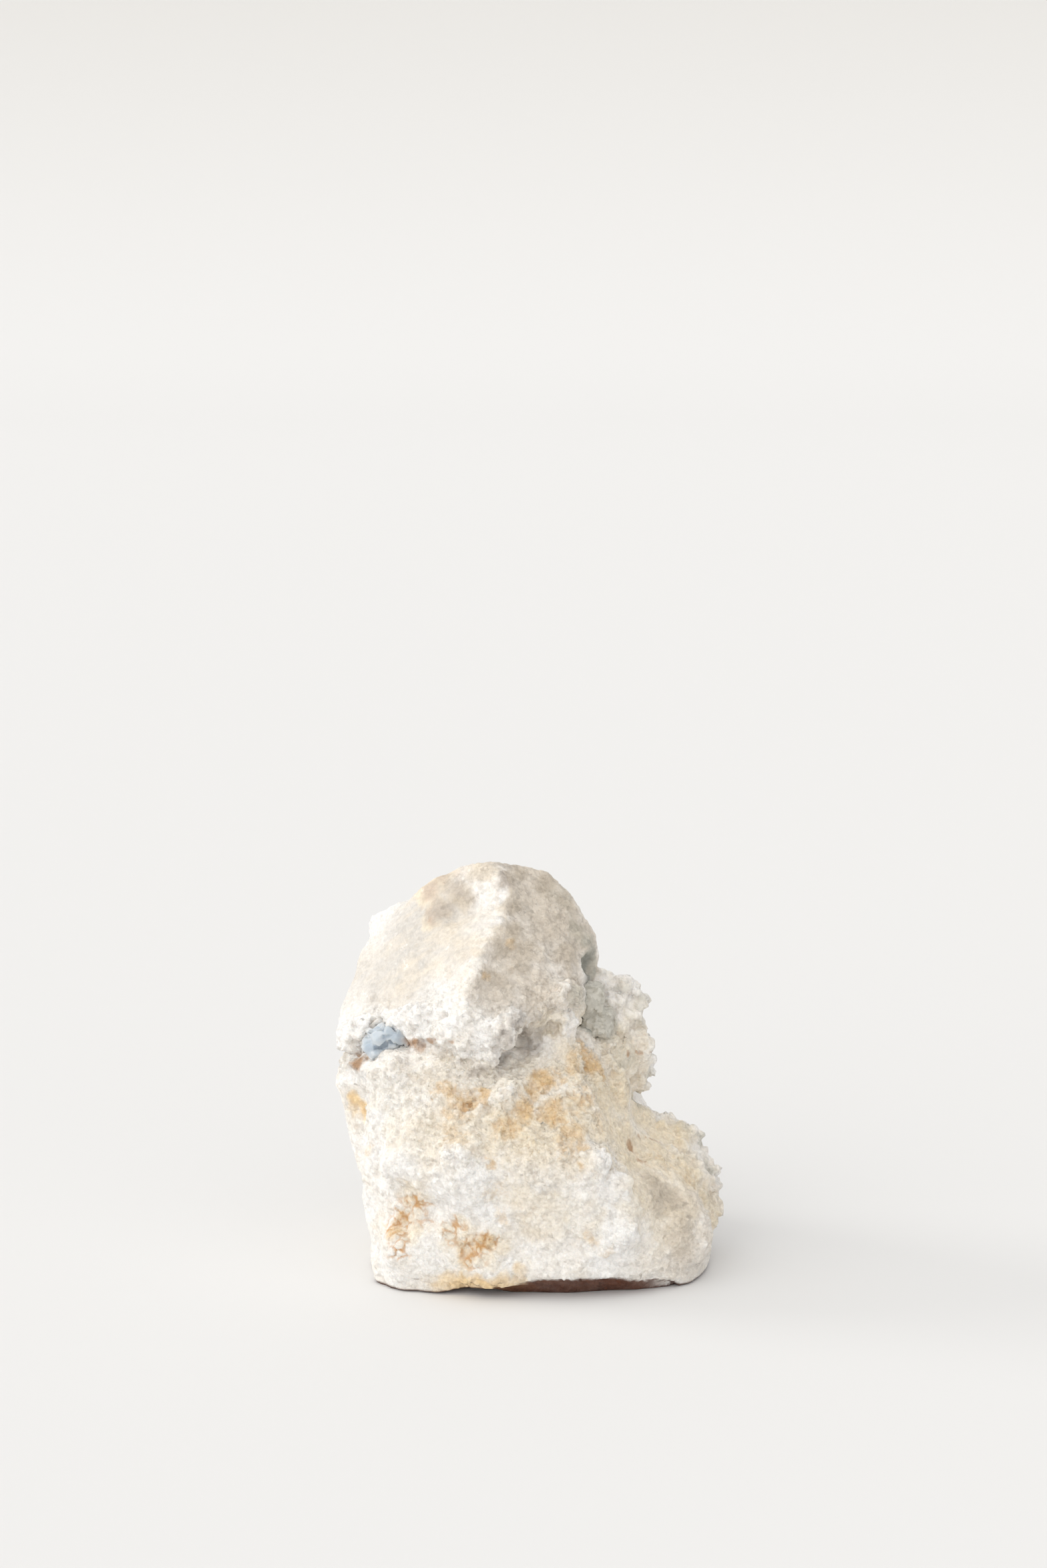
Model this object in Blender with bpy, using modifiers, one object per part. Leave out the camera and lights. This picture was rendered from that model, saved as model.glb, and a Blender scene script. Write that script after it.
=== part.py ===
"""A rough hand specimen of white granular mineral, shaped like a boot.

A broad base carries a sloping middle slab and a pointed upper block. A cleft under
the upper block holds pale blue crystals, and a shaded recess behind its right flank
holds a grey-green crust. The stone rests on a nearly flat underside.

Units are metres, and the design values are in millimetres times MM. +Z is up, -Y is
the front, and the origin is under the middle of the stone's box, where it rests.
"""

import math
import random

import bmesh
import bpy
from mathutils import Euler, Matrix, Vector
from mathutils.bvhtree import BVHTree

MM = 0.001

# Driving sizes
BODY_VOXEL = 0.7 * MM
CUTTER_VOXEL = 0.5 * MM
BODY_TRIANGLES = 4800
CRUST_GAP = 0.35 * MM
FLOOR_CUTTER = (200 * MM, 200 * MM, 20 * MM)

# How far a small crystal is sunk, as a share of its size, and the spread of the sizes
CRYSTAL_SINK = 0.14
RIM_SPREAD = (0.7, 1.4)
CRUST_SPREAD = (0.7, 1.2)
EDGE_SPREAD = (0.8, 1.25)
RIM_SEED = 7

# Corners of the broken blocks, in millimetres
BASE_BLOCK = (
    (-27.5, -18, -2), (-22.5, -22.5, -2), (-18.5, -23.3, -2), (-6, -25, 0.9),
    (4, -26.6, 2.6), (15, -25.8, 2.0), (25, -22, 1.4), (31, -18, 0), (34, -8, -2),
    (34, 10, -2), (29, 22, -2), (16, 30, -2), (-4, 32, -2), (-20, 27, -2), (-29, 14, -2),
    (-28.6, -8, -2), (-30, -15, 20), (-24, -22, 22), (-11, -26.4, 21), (1.5, -28, 21),
    (10, -28, 22), (17, -27, 21), (35.5, -4, 10), (36, 0, 12), (34, 4, 18), (31, 10, 21),
    (24, 22, 19), (8, 28, 18), (-12, 29, 19), (-26, 22, 20), (-31, 4, 22),
)
MIDDLE_SLAB = (
    (-28, -12.5, 42), (-28.5, -17.5, 31), (-30, -16, 21), (-23.5, -16, 43.5),
    (-16, -18, 43), (-3.5, -17, 41), (3, -13, 44), (7, -9, 47), (-22, -25, 28),
    (-11, -28, 27), (1.5, -29.2, 25), (10, -28.5, 25), (17, -26, 21), (-11, -27, 17),
    (10, -28, 17), (12, -6, 38), (20, -3, 29), (21, 4, 28), (14, 20, 34), (-10, 24, 38),
    (-28, 12, 38), (-20, 20, 18), (20, 14, 18),
)
LEFT_WING = (
    (-35, -2, 38), (-34.5, -5, 34), (-34.5, -3, 28.5), (-32.5, -6, 24), (-31, -6, 16),
    (-26, -8, 40), (-26, -8, 18), (-31, 12, 38), (-31, 12, 20), (-24, 16, 30),
)
UPPER_BLOCK = (
    (-7, 2, 75), (-2.5, 4, 74), (3, 5, 72.8), (5, 5, 71.4), (7.6, 5, 69), (11.5, 4, 63),
    (14, 5, 54.5), (-12.5, 5, 73.5), (-16, 6, 72), (-20, 6, 69.5), (-4, -3, 70.5),
    (-6, -8, 65), (-8.5, -12, 61), (-11, -16, 56), (-12, -19, 51), (-11, -20, 46.5),
    (-6, -20.5, 43), (4, 0.5, 68), (7, -1.5, 63), (10.5, -4, 57), (11.5, -6, 54),
    (10.5, -9.5, 49), (6, -13, 45), (-29, 10, 60), (-30.5, 9, 57), (-33.5, 4, 48),
    (-35.5, 0, 45), (-36, -3, 42), (-34, -3, 38), (-26, -12, 45), (-22, 22, 56),
    (-2, 18, 62), (10, 16, 50), (-30, 18, 42), (4, 22, 36),
)
UPPER_SPUR = (
    (-30.5, 12, 62.5), (-28, 11, 64), (-20, 10, 67), (-29.5, 14, 56), (-24, 18, 60),
    (-18, 6, 60), (-16, 16, 64), (-26, 8, 54),
)
RIGHT_LEDGE = (
    (12, 2, 52), (15, 7, 52.5), (18, 6, 51.5), (20, 6, 50.5), (21, 5, 49), (22, 4, 44),
    (22.5, 3, 38), (23, 3, 31.5), (20, 0, 31), (13, -5, 38), (12, -4, 44), (8, 14, 52),
    (18, 16, 46), (20, 14, 34), (10, 18, 34), (8, 0, 34),
)
TOE_SHOULDER = (
    (20, 3, 28), (24, 4, 25.6), (28, 5, 24), (31, 4, 22.5), (32.3, 3, 20), (33.8, 1, 17),
    (35.5, 0, 13), (28, -14, 17), (22, -20, 20), (18, -22, 22), (24, 18, 20),
    (14, 10, 26), (14, -8, 28), (30, 10, 12), (20, 0, 10),
)
BACK_MASS = (
    (-32, 6, 36), (-31.5, 10, 24), (-29.4, 2, 18), (-28.4, 8, 6), (-26, 20, 8),
    (-29, 15, 47), (-25, 21, 42), (-19, 28, 22), (-9, 30, 25), (5, 29.4, 21),
    (17, 25, 21), (19, 18, 25), (19.6, 8, 30), (19.6, 8, 43), (17.6, 16, 42),
    (12, 20, 46), (0, 23.6, 49), (-13, 25, 47), (-20, 20, 58), (-5, 18.4, 65),
    (5, 14, 62), (13, 12, 50), (-24, 25, 10), (10, 30, 8), (24, 22, 12),
)
BLOCKS = (
    BASE_BLOCK, MIDDLE_SLAB, BACK_MASS, LEFT_WING, UPPER_BLOCK, UPPER_SPUR, RIGHT_LEDGE,
    TOE_SHOULDER,
)

# Rounded lumps grown on the blocks: centre and radii, in millimetres
LUMPS = (
    ((-11.5, -17.5, 47.8), (6, 3.6, 3.4)),     # sugary lip over the cleft
    ((-4.5, -17.6, 49), (3.6, 3.2, 3.4)),
    ((-19.5, -12.8, 49.5), (5, 3.2, 3)),
    ((6.2, -9.8, 53), (3.6, 3.2, 3.2)),        # bright end of the lip
    ((-27.5, -8.2, 38.6), (5.6, 5.4, 3.6)),    # left end of the slab
    ((-24.8, -16.2, 39.4), (5, 2.6, 3)),
    ((-4, -21.4, 36.6), (3.6, 2.8, 2.6)),      # knobs on the slab
    ((7.4, -16.6, 36.4), (4, 3.4, 4)),
    ((3.2, -25.2, 27.6), (4.2, 3.6, 2.8)),
    ((5.4, -26.4, 24), (3.4, 2.8, 2.4)),
    ((-12, -25.4, 27), (6.5, 4, 3.6)),
    ((-22, -22.6, 24.4), (5.4, 3.6, 3.4)),
    ((-20, -22.4, 9), (7, 3.4, 7)),            # rounded foot at the left
    ((-6.6, -25.4, 7), (6, 2.6, 5.4)),
    ((28, -15, 9), (6, 6, 8)),                 # rounded toe
)

# Hollows worn into the blocks: centre and radii, in millimetres
HOLLOWS = (
    ((-13.8, -3.3, 68.4), (6.2, 3.8, 4.4)),    # dent beside the crest
    ((-0.4, -6.2, 69.4), (2.4, 2.8, 3)),       # valley along the right of the crest
    ((-1.8, -9, 65.6), (2.8, 3, 3.4)),
    ((-3.2, -12.2, 61.6), (3.2, 3.3, 3.6)),
    ((-4.8, -15.4, 57.4), (3.4, 3.4, 3.8)),
    ((-6.2, -18.4, 53.2), (3.2, 3.2, 3.4)),
    ((12.8, -2.8, 57), (1.9, 5, 3.2)),         # dark notch at the right flank
    ((12.8, -4.4, 49.6), (2.6, 4.6, 7)),       # shaded groove behind the flank
    ((24.8, 3, 29.4), (4.6, 6, 1.5)),          # notch under the right ledge
    ((22.6, 2, 42.3), (2.6, 5, 0.9)),          # crack across the right ledge
    ((11.8, -12.4, 40.4), (2.6, 3, 4.2)),      # brown furrow right of the slab
    ((-11.4, -22.4, 35.6), (2, 1.8, 2.4)),     # dimple in the slab
    ((20.4, -12.4, 23.4), (1.7, 1.7, 1)),      # rust pits on the shoulder
    ((22.6, -13.4, 22.2), (1.1, 1.2, 0.8)),
    ((-31.5, -8, 26), (2.4, 3, 1.6)),          # small hollow in the left side
    ((-22.5, -23.6, 14), (2.6, 1.6, 3.4)),     # hollows with honeycomb stains
    ((-20.4, -24.6, 8.4), (1.6, 1.5, 1.6)),
    ((-10.4, -26.8, 8.8), (2, 1.4, 1.6)),
)

# Gap broken out under the front right edge: corners of the removed block, in millimetres
UNDERSIDE_GAP = (
    (-21, -36, 0.3), (-15, -36, 1.8), (-10, -36, 2.5), (-6, -36, 3.1), (-1, -36, 3.7),
    (4, -36, 4.2), (9, -36, 4.3), (15, -36, 4), (21.4, -35, 3.5), (26, -33, 2.5),
    (31, -30, 0.7), (-16, -23, 0.2), (-4, -18, 1), (1, -14, 2.4), (14, -11, 2.6),
    (26, -14, 0.8), (-21, -36, -3), (-16, -23, -3), (-4, -18, -3), (1, -14, -3),
    (14, -11, -3), (26, -14, -3), (31, -30, -3), (21.4, -36, -3),
)

# The cleft from left to right: x, lower edge, upper edge, y of its mouth and of its back.
# At the back the floor has risen and the roof has dropped by these shares of the opening.
CLEFT_FLOOR_RISE = 0.35
CLEFT_ROOF_DROP = 0.2
CLEFT = (
    (-35, 36.4, 39.6, -10, -1), (-32.5, 37.2, 42, -12, 0), (-30, 40, 43.6, -13, -1),
    (-27, 41.6, 46, -15, -2.5), (-23.5, 43, 47.6, -19, -5), (-20.5, 43.9, 46.6, -20, -9.5),
    (-17.5, 44.4, 45.9, -21, -12), (-13, 44, 45.2, -23, -14.5), (-10.8, 40.4, 44, -24, -12.5),
    (-7, 39.4, 44.6, -25, -13), (-4.6, 38.6, 44.4, -24, -12.5), (-2, 39.2, 47.4, -22, -11),
    (1.2, 40.4, 50.2, -20, -9.8), (4.4, 42.2, 50.6, -18, -9), (7.2, 46.4, 49.4, -17, -9.6),
)

# Relief of the broken surface: texture kind, size of its lumps, its height and where
RELIEF = (
    ("CLOUDS", 19 * MM, 5.0 * MM, "back"),
    ("CLOUDS", 9 * MM, 2.0 * MM, "rough"),
    ("VORONOI", 5 * MM, 1.3 * MM, "rough"),
    ("CLOUDS", 2.2 * MM, 0.7 * MM, "rough"),
)
BACK_START = 0 * MM
BACK_FULL = 14 * MM
SMOOTH_FACE_HEIGHT = 47 * MM
SMOOTH_FACE_RELIEF = 0.4

# Large crystals grown out of the stone: centre, edges and turns, in millimetres and degrees
LARGE_CRYSTALS = (
    ((17.4, 4.5, 49.8), (6, 6, 4), (8, -12, 10)),
    ((19.2, 3.6, 46.2), (4.4, 5, 4.6), (-6, 10, 22)),
    ((17.6, 2.2, 44.2), (5, 5, 4), (14, 4, -12)),
    ((19.6, 2.6, 39.4), (5, 5.6, 4.6), (4, -6, 30)),
    ((20.2, 3, 35), (4.6, 5, 4.8), (-4, 8, 12)),
    ((17, -1.6, 38.6), (4.6, 4.6, 4.4), (10, 14, 40)),
    ((15.8, -4, 34.4), (4.4, 4, 4.6), (22, -8, 18)),
    ((28.6, 3.6, 23.2), (3.4, 4, 2.6), (6, 22, 15)),
    ((31.6, -2, 15), (4.4, 5, 4.6), (6, 12, 25)),
    ((11.8, -26.2, 25), (4.6, 4, 4.8), (-12, 8, 12)),
    ((16.4, -24.6, 21.2), (4.6, 5.4, 4.4), (-16, 26, 16)),
    ((17.6, -24, 15.4), (3.4, 5, 8), (-4, 10, 28)),
    ((-7.2, -18.8, 43.2), (2, 2.2, 4), (-8, 14, 40)),
    ((-13, -16.8, 47), (4, 4, 3), (20, 12, 30)),
    ((-2.8, -16.6, 49.2), (3.6, 3.6, 3), (-14, 20, 15)),
)

# Lines along which small crystals stand out: corners in millimetres, count and size.
# Each crystal wanders from its line by up to the scatter.
CRYSTAL_RIMS = {
    "ledge": (
        ((13.5, 6, 52), (19.2, 5, 51), (21, 3, 47.2), (21.6, 3, 42), (22.4, 3, 37.8),
         (22.8, 3, 32)),
        14, 2.0 * MM,
    ),
    "ledge_face": (
        ((14, -3, 48), (19, -1, 45), (16, -4, 40), (21, -1, 36), (15, -7, 34), (20, -4, 31)),
        14, 2.2 * MM,
    ),
    "toe": (
        ((21.4, 2, 28), (26, 5, 24.4), (30, 4, 23.4), (32, 3, 20.6), (33.6, 1, 16.5),
         (35, -1, 11.6), (34.4, -3, 8)),
        16, 1.8 * MM,
    ),
    "lip": (
        ((-22, -13, 48), (-15, -18, 46.6), (-10, -20, 45), (-4, -20, 45.4), (0, -17, 50.6),
         (6, -14, 52)),
        16, 1.9 * MM,
    ),
    "slab_edge": (
        ((-31, -8, 39), (-27, -15, 41), (-22, -18, 42.6), (-14, -19, 43), (-2, -20, 38.6),
         (5, -17, 40.6)),
        12, 1.7 * MM,
    ),
    "slab_face": (
        ((-20, -22, 34), (-6, -23, 34), (8, -18, 36), (-2, -26, 29), (-14, -27, 28)),
        14, 2.0 * MM,
    ),
    "back": (
        ((-20, 24, 34), (-4, 26, 36), (10, 24, 30), (22, 22, 20), (-2, 30, 16), (-22, 24, 18)),
        14, 2.6 * MM,
    ),
}
RIM_SCATTER = 1.2 * MM

# Pockets lined with a crust, in millimetres and degrees. A pocket is broken out in blocks
# (centre, edges, turns), and crystals of one size stand out of a bed along its back.
POCKETS = {
    "pocket_crystals": {
        "blocks": (
            ((-28, -8, 43.2), (5, 8, 3.6), (6, -28, 24)),
            ((-25.2, -8.6, 44.8), (5.4, 9, 4.6), (-8, -20, -8)),
            ((-22.4, -11, 45.6), (5, 8, 3.4), (10, -12, 12)),
            ((-26.8, -7.4, 45.2), (4, 7, 3.6), (14, -40, 6)),
        ),
        "bed": ((-25.4, -4.8, 44.4), (13, 3.4, 7), (0, -22, -18)),
        "face": ((-30.4, -6.8, 41.6), (-20.4, -10.2, 46.4)),
        "count": 13,
        "size": 2.9 * MM,
    },
    "recess_crust": {
        "blocks": (
            ((12.6, -3.4, 50), (4, 8, 5.4), (10, 8, 12)),
            ((13.6, -2.6, 46.2), (4.8, 7, 5), (-8, 6, -10)),
            ((12.4, -3.4, 43.6), (3.6, 6.4, 3.4), (12, -16, 8)),
        ),
        "bed": ((13.2, 0.2, 46.8), (7, 3, 12), (4, 4, 4)),
        "face": ((11, -2, 42.4), (15.4, -2.2, 51.4)),
        "count": 15,
        "size": 2.0 * MM,
    },
}

# Materials: colour as linear red, green and blue, and roughness
MATERIALS = {
    "matrix": ("white_granular_mineral", (0.83, 0.78, 0.69), 0.8),
    "pocket_crystals": ("pale_blue_crystal", (0.5, 0.57, 0.64), 0.25),
    "recess_crust": ("grey_green_crust", (0.38, 0.38, 0.32), 0.6),
}


def clear_scene():
    for obj in list(bpy.data.objects):
        bpy.data.objects.remove(obj)


def new_collection(name):
    collection = bpy.data.collections.new(name)
    bpy.context.scene.collection.children.link(collection)
    return collection


def object_from_bmesh(name, bm, collection):
    mesh = bpy.data.meshes.new(name)
    bm.to_mesh(mesh)
    bm.free()
    obj = bpy.data.objects.new(name, mesh)
    collection.objects.link(obj)
    return obj


def as_helper(obj):
    """Helpers only shape the stone, so they are drawn as wires and not rendered."""
    obj.hide_render = True
    obj.display_type = "WIRE"
    return obj


def bake(obj):
    """Makes the modifiers' result the object's own mesh."""
    graph = bpy.context.evaluated_depsgraph_get()
    mesh = bpy.data.meshes.new_from_object(obj.evaluated_get(graph))
    obj.modifiers.clear()
    obj.data = mesh


def boolean(obj, other, operation, overlapping=True):
    """Overlapping means that the other object is several solids pushed into each other."""
    modifier = obj.modifiers.new(operation.lower(), "BOOLEAN")
    modifier.operation = operation
    modifier.object = other
    modifier.solver = "EXACT"
    modifier.use_self = overlapping


def keep_largest_body(obj):
    """Drops the crumbs that a cut has left beside the main body."""
    bm = bmesh.new()
    bm.from_mesh(obj.data)
    bodies = []
    seen = set()
    for start in bm.verts:
        if start in seen:
            continue
        body = {start}
        edge_of_search = [start]
        while edge_of_search:
            vertex = edge_of_search.pop()
            linked = {edge.other_vert(vertex) for edge in vertex.link_edges} - body
            body |= linked
            edge_of_search += linked
        seen |= body
        bodies.append(body)
    largest = max(bodies, key=len)
    crumbs = [vertex for vertex in bm.verts if vertex not in largest]
    bmesh.ops.delete(bm, geom=crumbs, context="VERTS")
    bm.to_mesh(obj.data)
    bm.free()


def add_hull(bm, corners_mm):
    """A broken block: the smallest convex solid round its corners."""
    corners = [bm.verts.new(Vector(corner) * MM) for corner in corners_mm]
    hull = bmesh.ops.convex_hull(bm, input=corners)
    inside = {item for item in hull["geom_interior"] if isinstance(item, bmesh.types.BMVert)}
    bmesh.ops.delete(bm, geom=list(inside), context="VERTS")


def add_ellipsoid(bm, centre_mm, radii_mm):
    size = Matrix.Diagonal([radius * MM for radius in radii_mm] + [1])
    place = Matrix.Translation(Vector(centre_mm) * MM) @ size
    bmesh.ops.create_icosphere(bm, subdivisions=2, radius=1, matrix=place)


def add_block(bm, centre, edges, turns):
    """A block with flat faces, in metres and radians."""
    turn = Euler(turns).to_matrix().to_4x4()
    place = Matrix.Translation(centre) @ turn @ Matrix.Diagonal([*edges, 1])
    bmesh.ops.create_cube(bm, size=1, matrix=place)


def add_listed_block(bm, block, inset=0.0):
    """A block from a table (centre, edges, turns), with its faces moved in by the inset."""
    centre, edges, turns = block
    shorter = [edge * MM - 2 * inset for edge in edges]
    add_block(bm, Vector(centre) * MM, shorter, [math.radians(turn) for turn in turns])


def add_random_crystal(bm, centre, size, rng):
    edges = [size * rng.uniform(*EDGE_SPREAD) for _ in range(3)]
    add_block(bm, centre, edges, [rng.uniform(0, math.tau) for _ in range(3)])


def rough_blocks(parts):
    """The blocks fused into one body with the first hollows worn in."""
    bm = bmesh.new()
    for corners in BLOCKS:
        add_hull(bm, corners)
    for centre, radii in LUMPS:
        add_ellipsoid(bm, centre, radii)
    bmesh.ops.recalc_face_normals(bm, faces=bm.faces)
    return object_from_bmesh("matrix", bm, parts)


def hollow_cutter(helpers):
    """The worn hollows and the cleft, which is a chain of wedges."""
    bm = bmesh.new()
    for centre, radii in HOLLOWS:
        add_ellipsoid(bm, centre, radii)
    for station, following in zip(CLEFT, CLEFT[1:]):
        corners = []
        for x, low, high, mouth, back in (station, following):
            opening = high - low
            corners += [(x, mouth, low), (x, mouth, high)]
            corners.append((x, back, low + opening * CLEFT_FLOOR_RISE))
            corners.append((x, back, high - opening * CLEFT_ROOF_DROP))
        add_hull(bm, corners)
    bmesh.ops.recalc_face_normals(bm, faces=bm.faces)
    cutter = object_from_bmesh("hollow_cutter", bm, helpers)
    fuse = cutter.modifiers.new("fuse", "REMESH")
    fuse.mode = "VOXEL"
    fuse.voxel_size = CUTTER_VOXEL
    return as_helper(cutter)


def weather(obj):
    """Lumps, broken facets and grain raised on the surface."""
    back = obj.vertex_groups.new(name="back")
    rough = obj.vertex_groups.new(name="rough")
    for vertex in obj.data.vertices:
        far = (vertex.co.y - BACK_START) / (BACK_FULL - BACK_START)
        back.add([vertex.index], min(max(far, 0), 1), "REPLACE")
        smooth = vertex.co.z > SMOOTH_FACE_HEIGHT and vertex.normal.x < -0.25 and far < 0.5
        rough.add([vertex.index], SMOOTH_FACE_RELIEF if smooth else 1, "REPLACE")
    for number, (kind, lump_size, height, group) in enumerate(RELIEF):
        texture = bpy.data.textures.new(f"relief_{number}", kind)
        texture.noise_scale = lump_size
        if kind == "VORONOI":
            texture.distance_metric = "DISTANCE"
        raise_surface = obj.modifiers.new(f"relief_{number}", "DISPLACE")
        raise_surface.texture = texture
        raise_surface.texture_coords = "LOCAL"
        raise_surface.mid_level = 0.5
        raise_surface.strength = height
        raise_surface.vertex_group = group


def remesh(obj, voxel):
    modifier = obj.modifiers.new("voxels", "REMESH")
    modifier.mode = "VOXEL"
    modifier.voxel_size = voxel


def thin_out(obj, triangles):
    """Fewer, larger facets, which also give the broken look."""
    obj.data.calc_loop_triangles()
    modifier = obj.modifiers.new("thin", "DECIMATE")
    modifier.ratio = triangles / len(obj.data.loop_triangles)
    modifier.use_collapse_triangulate = True


def along(line, share):
    """The point at this share of a line's corners, counted by segments."""
    step = share * (len(line) - 1)
    first = min(int(step), len(line) - 2)
    return line[first].lerp(line[first + 1], step - first)


def grown_crystals(body, helpers):
    """The large crystals, and the small ones half sunk in the surface along the rims."""
    rng = random.Random(RIM_SEED)
    surface = BVHTree.FromPolygons(
        [vertex.co for vertex in body.data.vertices],
        [polygon.vertices for polygon in body.data.polygons],
    )
    bm = bmesh.new()
    for crystal in LARGE_CRYSTALS:
        add_listed_block(bm, crystal)
    for corners, count, size in CRYSTAL_RIMS.values():
        line = [Vector(corner) * MM for corner in corners]
        for number in range(count):
            wander = Vector([rng.uniform(-RIM_SCATTER, RIM_SCATTER) for _ in range(3)])
            near = along(line, (number + 0.5) / count) + wander
            spot, normal, _, _ = surface.find_nearest(near)
            length = size * rng.uniform(*RIM_SPREAD)
            add_random_crystal(bm, spot - normal * length * CRYSTAL_SINK, length, rng)
    return as_helper(object_from_bmesh("grown_crystals", bm, helpers))


def pocket_blocks(name, helpers, inset=0.0):
    """The hollow of a pocket, or the same hollow with its walls moved in."""
    bm = bmesh.new()
    for block in POCKETS[name]["blocks"]:
        add_listed_block(bm, block, inset)
    return as_helper(object_from_bmesh(name + "_hollow", bm, helpers))


def make_crust(name, parts, helpers):
    """A bed of crystals that keeps an even gap to the walls of its pocket."""
    pocket = POCKETS[name]
    rng = random.Random(pocket["count"])
    bm = bmesh.new()
    add_listed_block(bm, pocket["bed"])
    low, high = pocket["face"]
    for _ in range(pocket["count"]):
        spot = Vector([rng.uniform(start, end) * MM for start, end in zip(low, high)])
        add_random_crystal(bm, spot, pocket["size"] * rng.uniform(*CRUST_SPREAD), rng)
    crust = object_from_bmesh(name, bm, parts)
    boolean(crust, pocket_blocks(name, helpers, CRUST_GAP), "INTERSECT")
    bake(crust)
    keep_largest_body(crust)
    return crust


def floor_cutter(helpers):
    """All that is under the floor, and the gap under the front right edge."""
    bm = bmesh.new()
    add_block(bm, (0, 0, -FLOOR_CUTTER[2] / 2), FLOOR_CUTTER, (0, 0, 0))
    add_hull(bm, UNDERSIDE_GAP)
    bmesh.ops.recalc_face_normals(bm, faces=bm.faces)
    return as_helper(object_from_bmesh("floor_cutter", bm, helpers))


def make_matrix(parts, helpers):
    body = rough_blocks(parts)
    remesh(body, BODY_VOXEL)
    boolean(body, hollow_cutter(helpers), "DIFFERENCE", overlapping=False)
    bake(body)
    weather(body)
    remesh(body, BODY_VOXEL)
    bake(body)
    thin_out(body, BODY_TRIANGLES)
    bake(body)
    boolean(body, grown_crystals(body, helpers), "UNION")
    for name in POCKETS:
        boolean(body, pocket_blocks(name, helpers), "DIFFERENCE")
    boolean(body, floor_cutter(helpers), "DIFFERENCE")
    bake(body)
    keep_largest_body(body)
    return body


def finish(obj):
    """Gives a piece its material and flat facets."""
    name, colour, roughness = MATERIALS[obj.name]
    material = bpy.data.materials.new(name)
    material.use_nodes = True
    shader = material.node_tree.nodes["Principled BSDF"]
    shader.inputs["Base Color"].default_value = (*colour, 1)
    shader.inputs["Roughness"].default_value = roughness
    shader.inputs["Metallic"].default_value = 0
    obj.data.materials.clear()
    obj.data.materials.append(material)
    obj.data.shade_flat()


def centre_box(pieces):
    """Puts the origin under the middle of the box round the stone."""
    corners = [vertex.co for vertex in pieces[0].data.vertices]
    middle = [
        (min(corner[axis] for corner in corners) + max(corner[axis] for corner in corners)) / 2
        for axis in (0, 1)
    ]
    for piece in pieces:
        piece.data.transform(Matrix.Translation((-middle[0], -middle[1], 0)))


def main():
    clear_scene()
    parts = new_collection("FluoriteSpecimen")
    helpers = new_collection("Cutters")
    pieces = [make_matrix(parts, helpers)]
    pieces += [make_crust(name, parts, helpers) for name in POCKETS]
    centre_box(pieces)
    for piece in pieces:
        finish(piece)


main()
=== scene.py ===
import math

import bpy
import numpy as np
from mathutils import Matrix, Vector, noise


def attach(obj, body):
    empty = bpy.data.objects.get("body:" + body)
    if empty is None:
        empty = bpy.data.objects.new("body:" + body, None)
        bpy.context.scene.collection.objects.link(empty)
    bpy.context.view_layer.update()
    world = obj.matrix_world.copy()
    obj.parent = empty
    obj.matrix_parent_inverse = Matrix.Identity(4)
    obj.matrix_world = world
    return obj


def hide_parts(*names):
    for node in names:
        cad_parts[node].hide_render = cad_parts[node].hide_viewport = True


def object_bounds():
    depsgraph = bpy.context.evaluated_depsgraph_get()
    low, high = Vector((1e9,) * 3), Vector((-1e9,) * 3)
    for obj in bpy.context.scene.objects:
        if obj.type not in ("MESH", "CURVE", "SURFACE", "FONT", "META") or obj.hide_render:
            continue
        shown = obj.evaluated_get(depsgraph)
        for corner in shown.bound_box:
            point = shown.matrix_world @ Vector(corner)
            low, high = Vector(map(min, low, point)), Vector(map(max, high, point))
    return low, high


mm = 0.001
mergeGap = 0.002  # mm between points of a solid's loose triangles that are one point
noise.seed_set(1)  # the same ragged stains on every run

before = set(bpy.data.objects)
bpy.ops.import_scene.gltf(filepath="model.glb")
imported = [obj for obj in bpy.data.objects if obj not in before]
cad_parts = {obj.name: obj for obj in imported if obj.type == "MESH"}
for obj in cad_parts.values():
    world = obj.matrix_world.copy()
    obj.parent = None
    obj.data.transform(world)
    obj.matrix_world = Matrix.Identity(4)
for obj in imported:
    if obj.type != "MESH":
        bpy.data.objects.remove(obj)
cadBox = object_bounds()


def deselectAll():
    if bpy.context.object and bpy.context.object.mode != "OBJECT":
        bpy.ops.object.mode_set(mode="OBJECT")
    bpy.ops.object.select_all(action="DESELECT")


def makeActive(obj):
    deselectAll()
    obj.select_set(True)
    bpy.context.view_layer.objects.active = obj


def applyAll(obj):
    makeActive(obj)
    for modifier in list(obj.modifiers):
        bpy.ops.object.modifier_apply(modifier=modifier.name)


def triangleCount(obj):
    return sum(len(face.vertices) - 2 for face in obj.data.polygons)


def copyNode(nodeName, newName):
    # the copy's loose triangles are merged, so that modifiers see one closed skin
    obj = bpy.data.objects.new(newName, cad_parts[nodeName].data.copy())
    bpy.context.scene.collection.objects.link(obj)
    makeActive(obj)
    bpy.ops.object.mode_set(mode="EDIT")
    bpy.ops.mesh.select_all(action="SELECT")
    bpy.ops.mesh.remove_doubles(threshold=mergeGap * mm)
    bpy.ops.object.mode_set(mode="OBJECT")
    return obj


def pointsOf(mesh):
    points = np.empty(len(mesh.vertices) * 3, np.float32)
    mesh.vertices.foreach_get("co", points)
    return points.reshape(-1, 3).astype(float)


def normalsOf(mesh):
    normals = np.empty(len(mesh.vertices) * 3, np.float32)
    mesh.vertex_normals.foreach_get("vector", normals)
    return normals.reshape(-1, 3).astype(float)


def setPoints(mesh, points):
    mesh.vertices.foreach_set("co", points.astype(np.float32).ravel())
    mesh.update()


def setMask(mesh, name, values):
    # one value for each point, which a material or a modifier reads by name
    attribute = mesh.attributes.get(name) or mesh.attributes.new(name, "FLOAT", "POINT")
    attribute.data.foreach_set("value", values.astype(np.float32))


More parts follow.
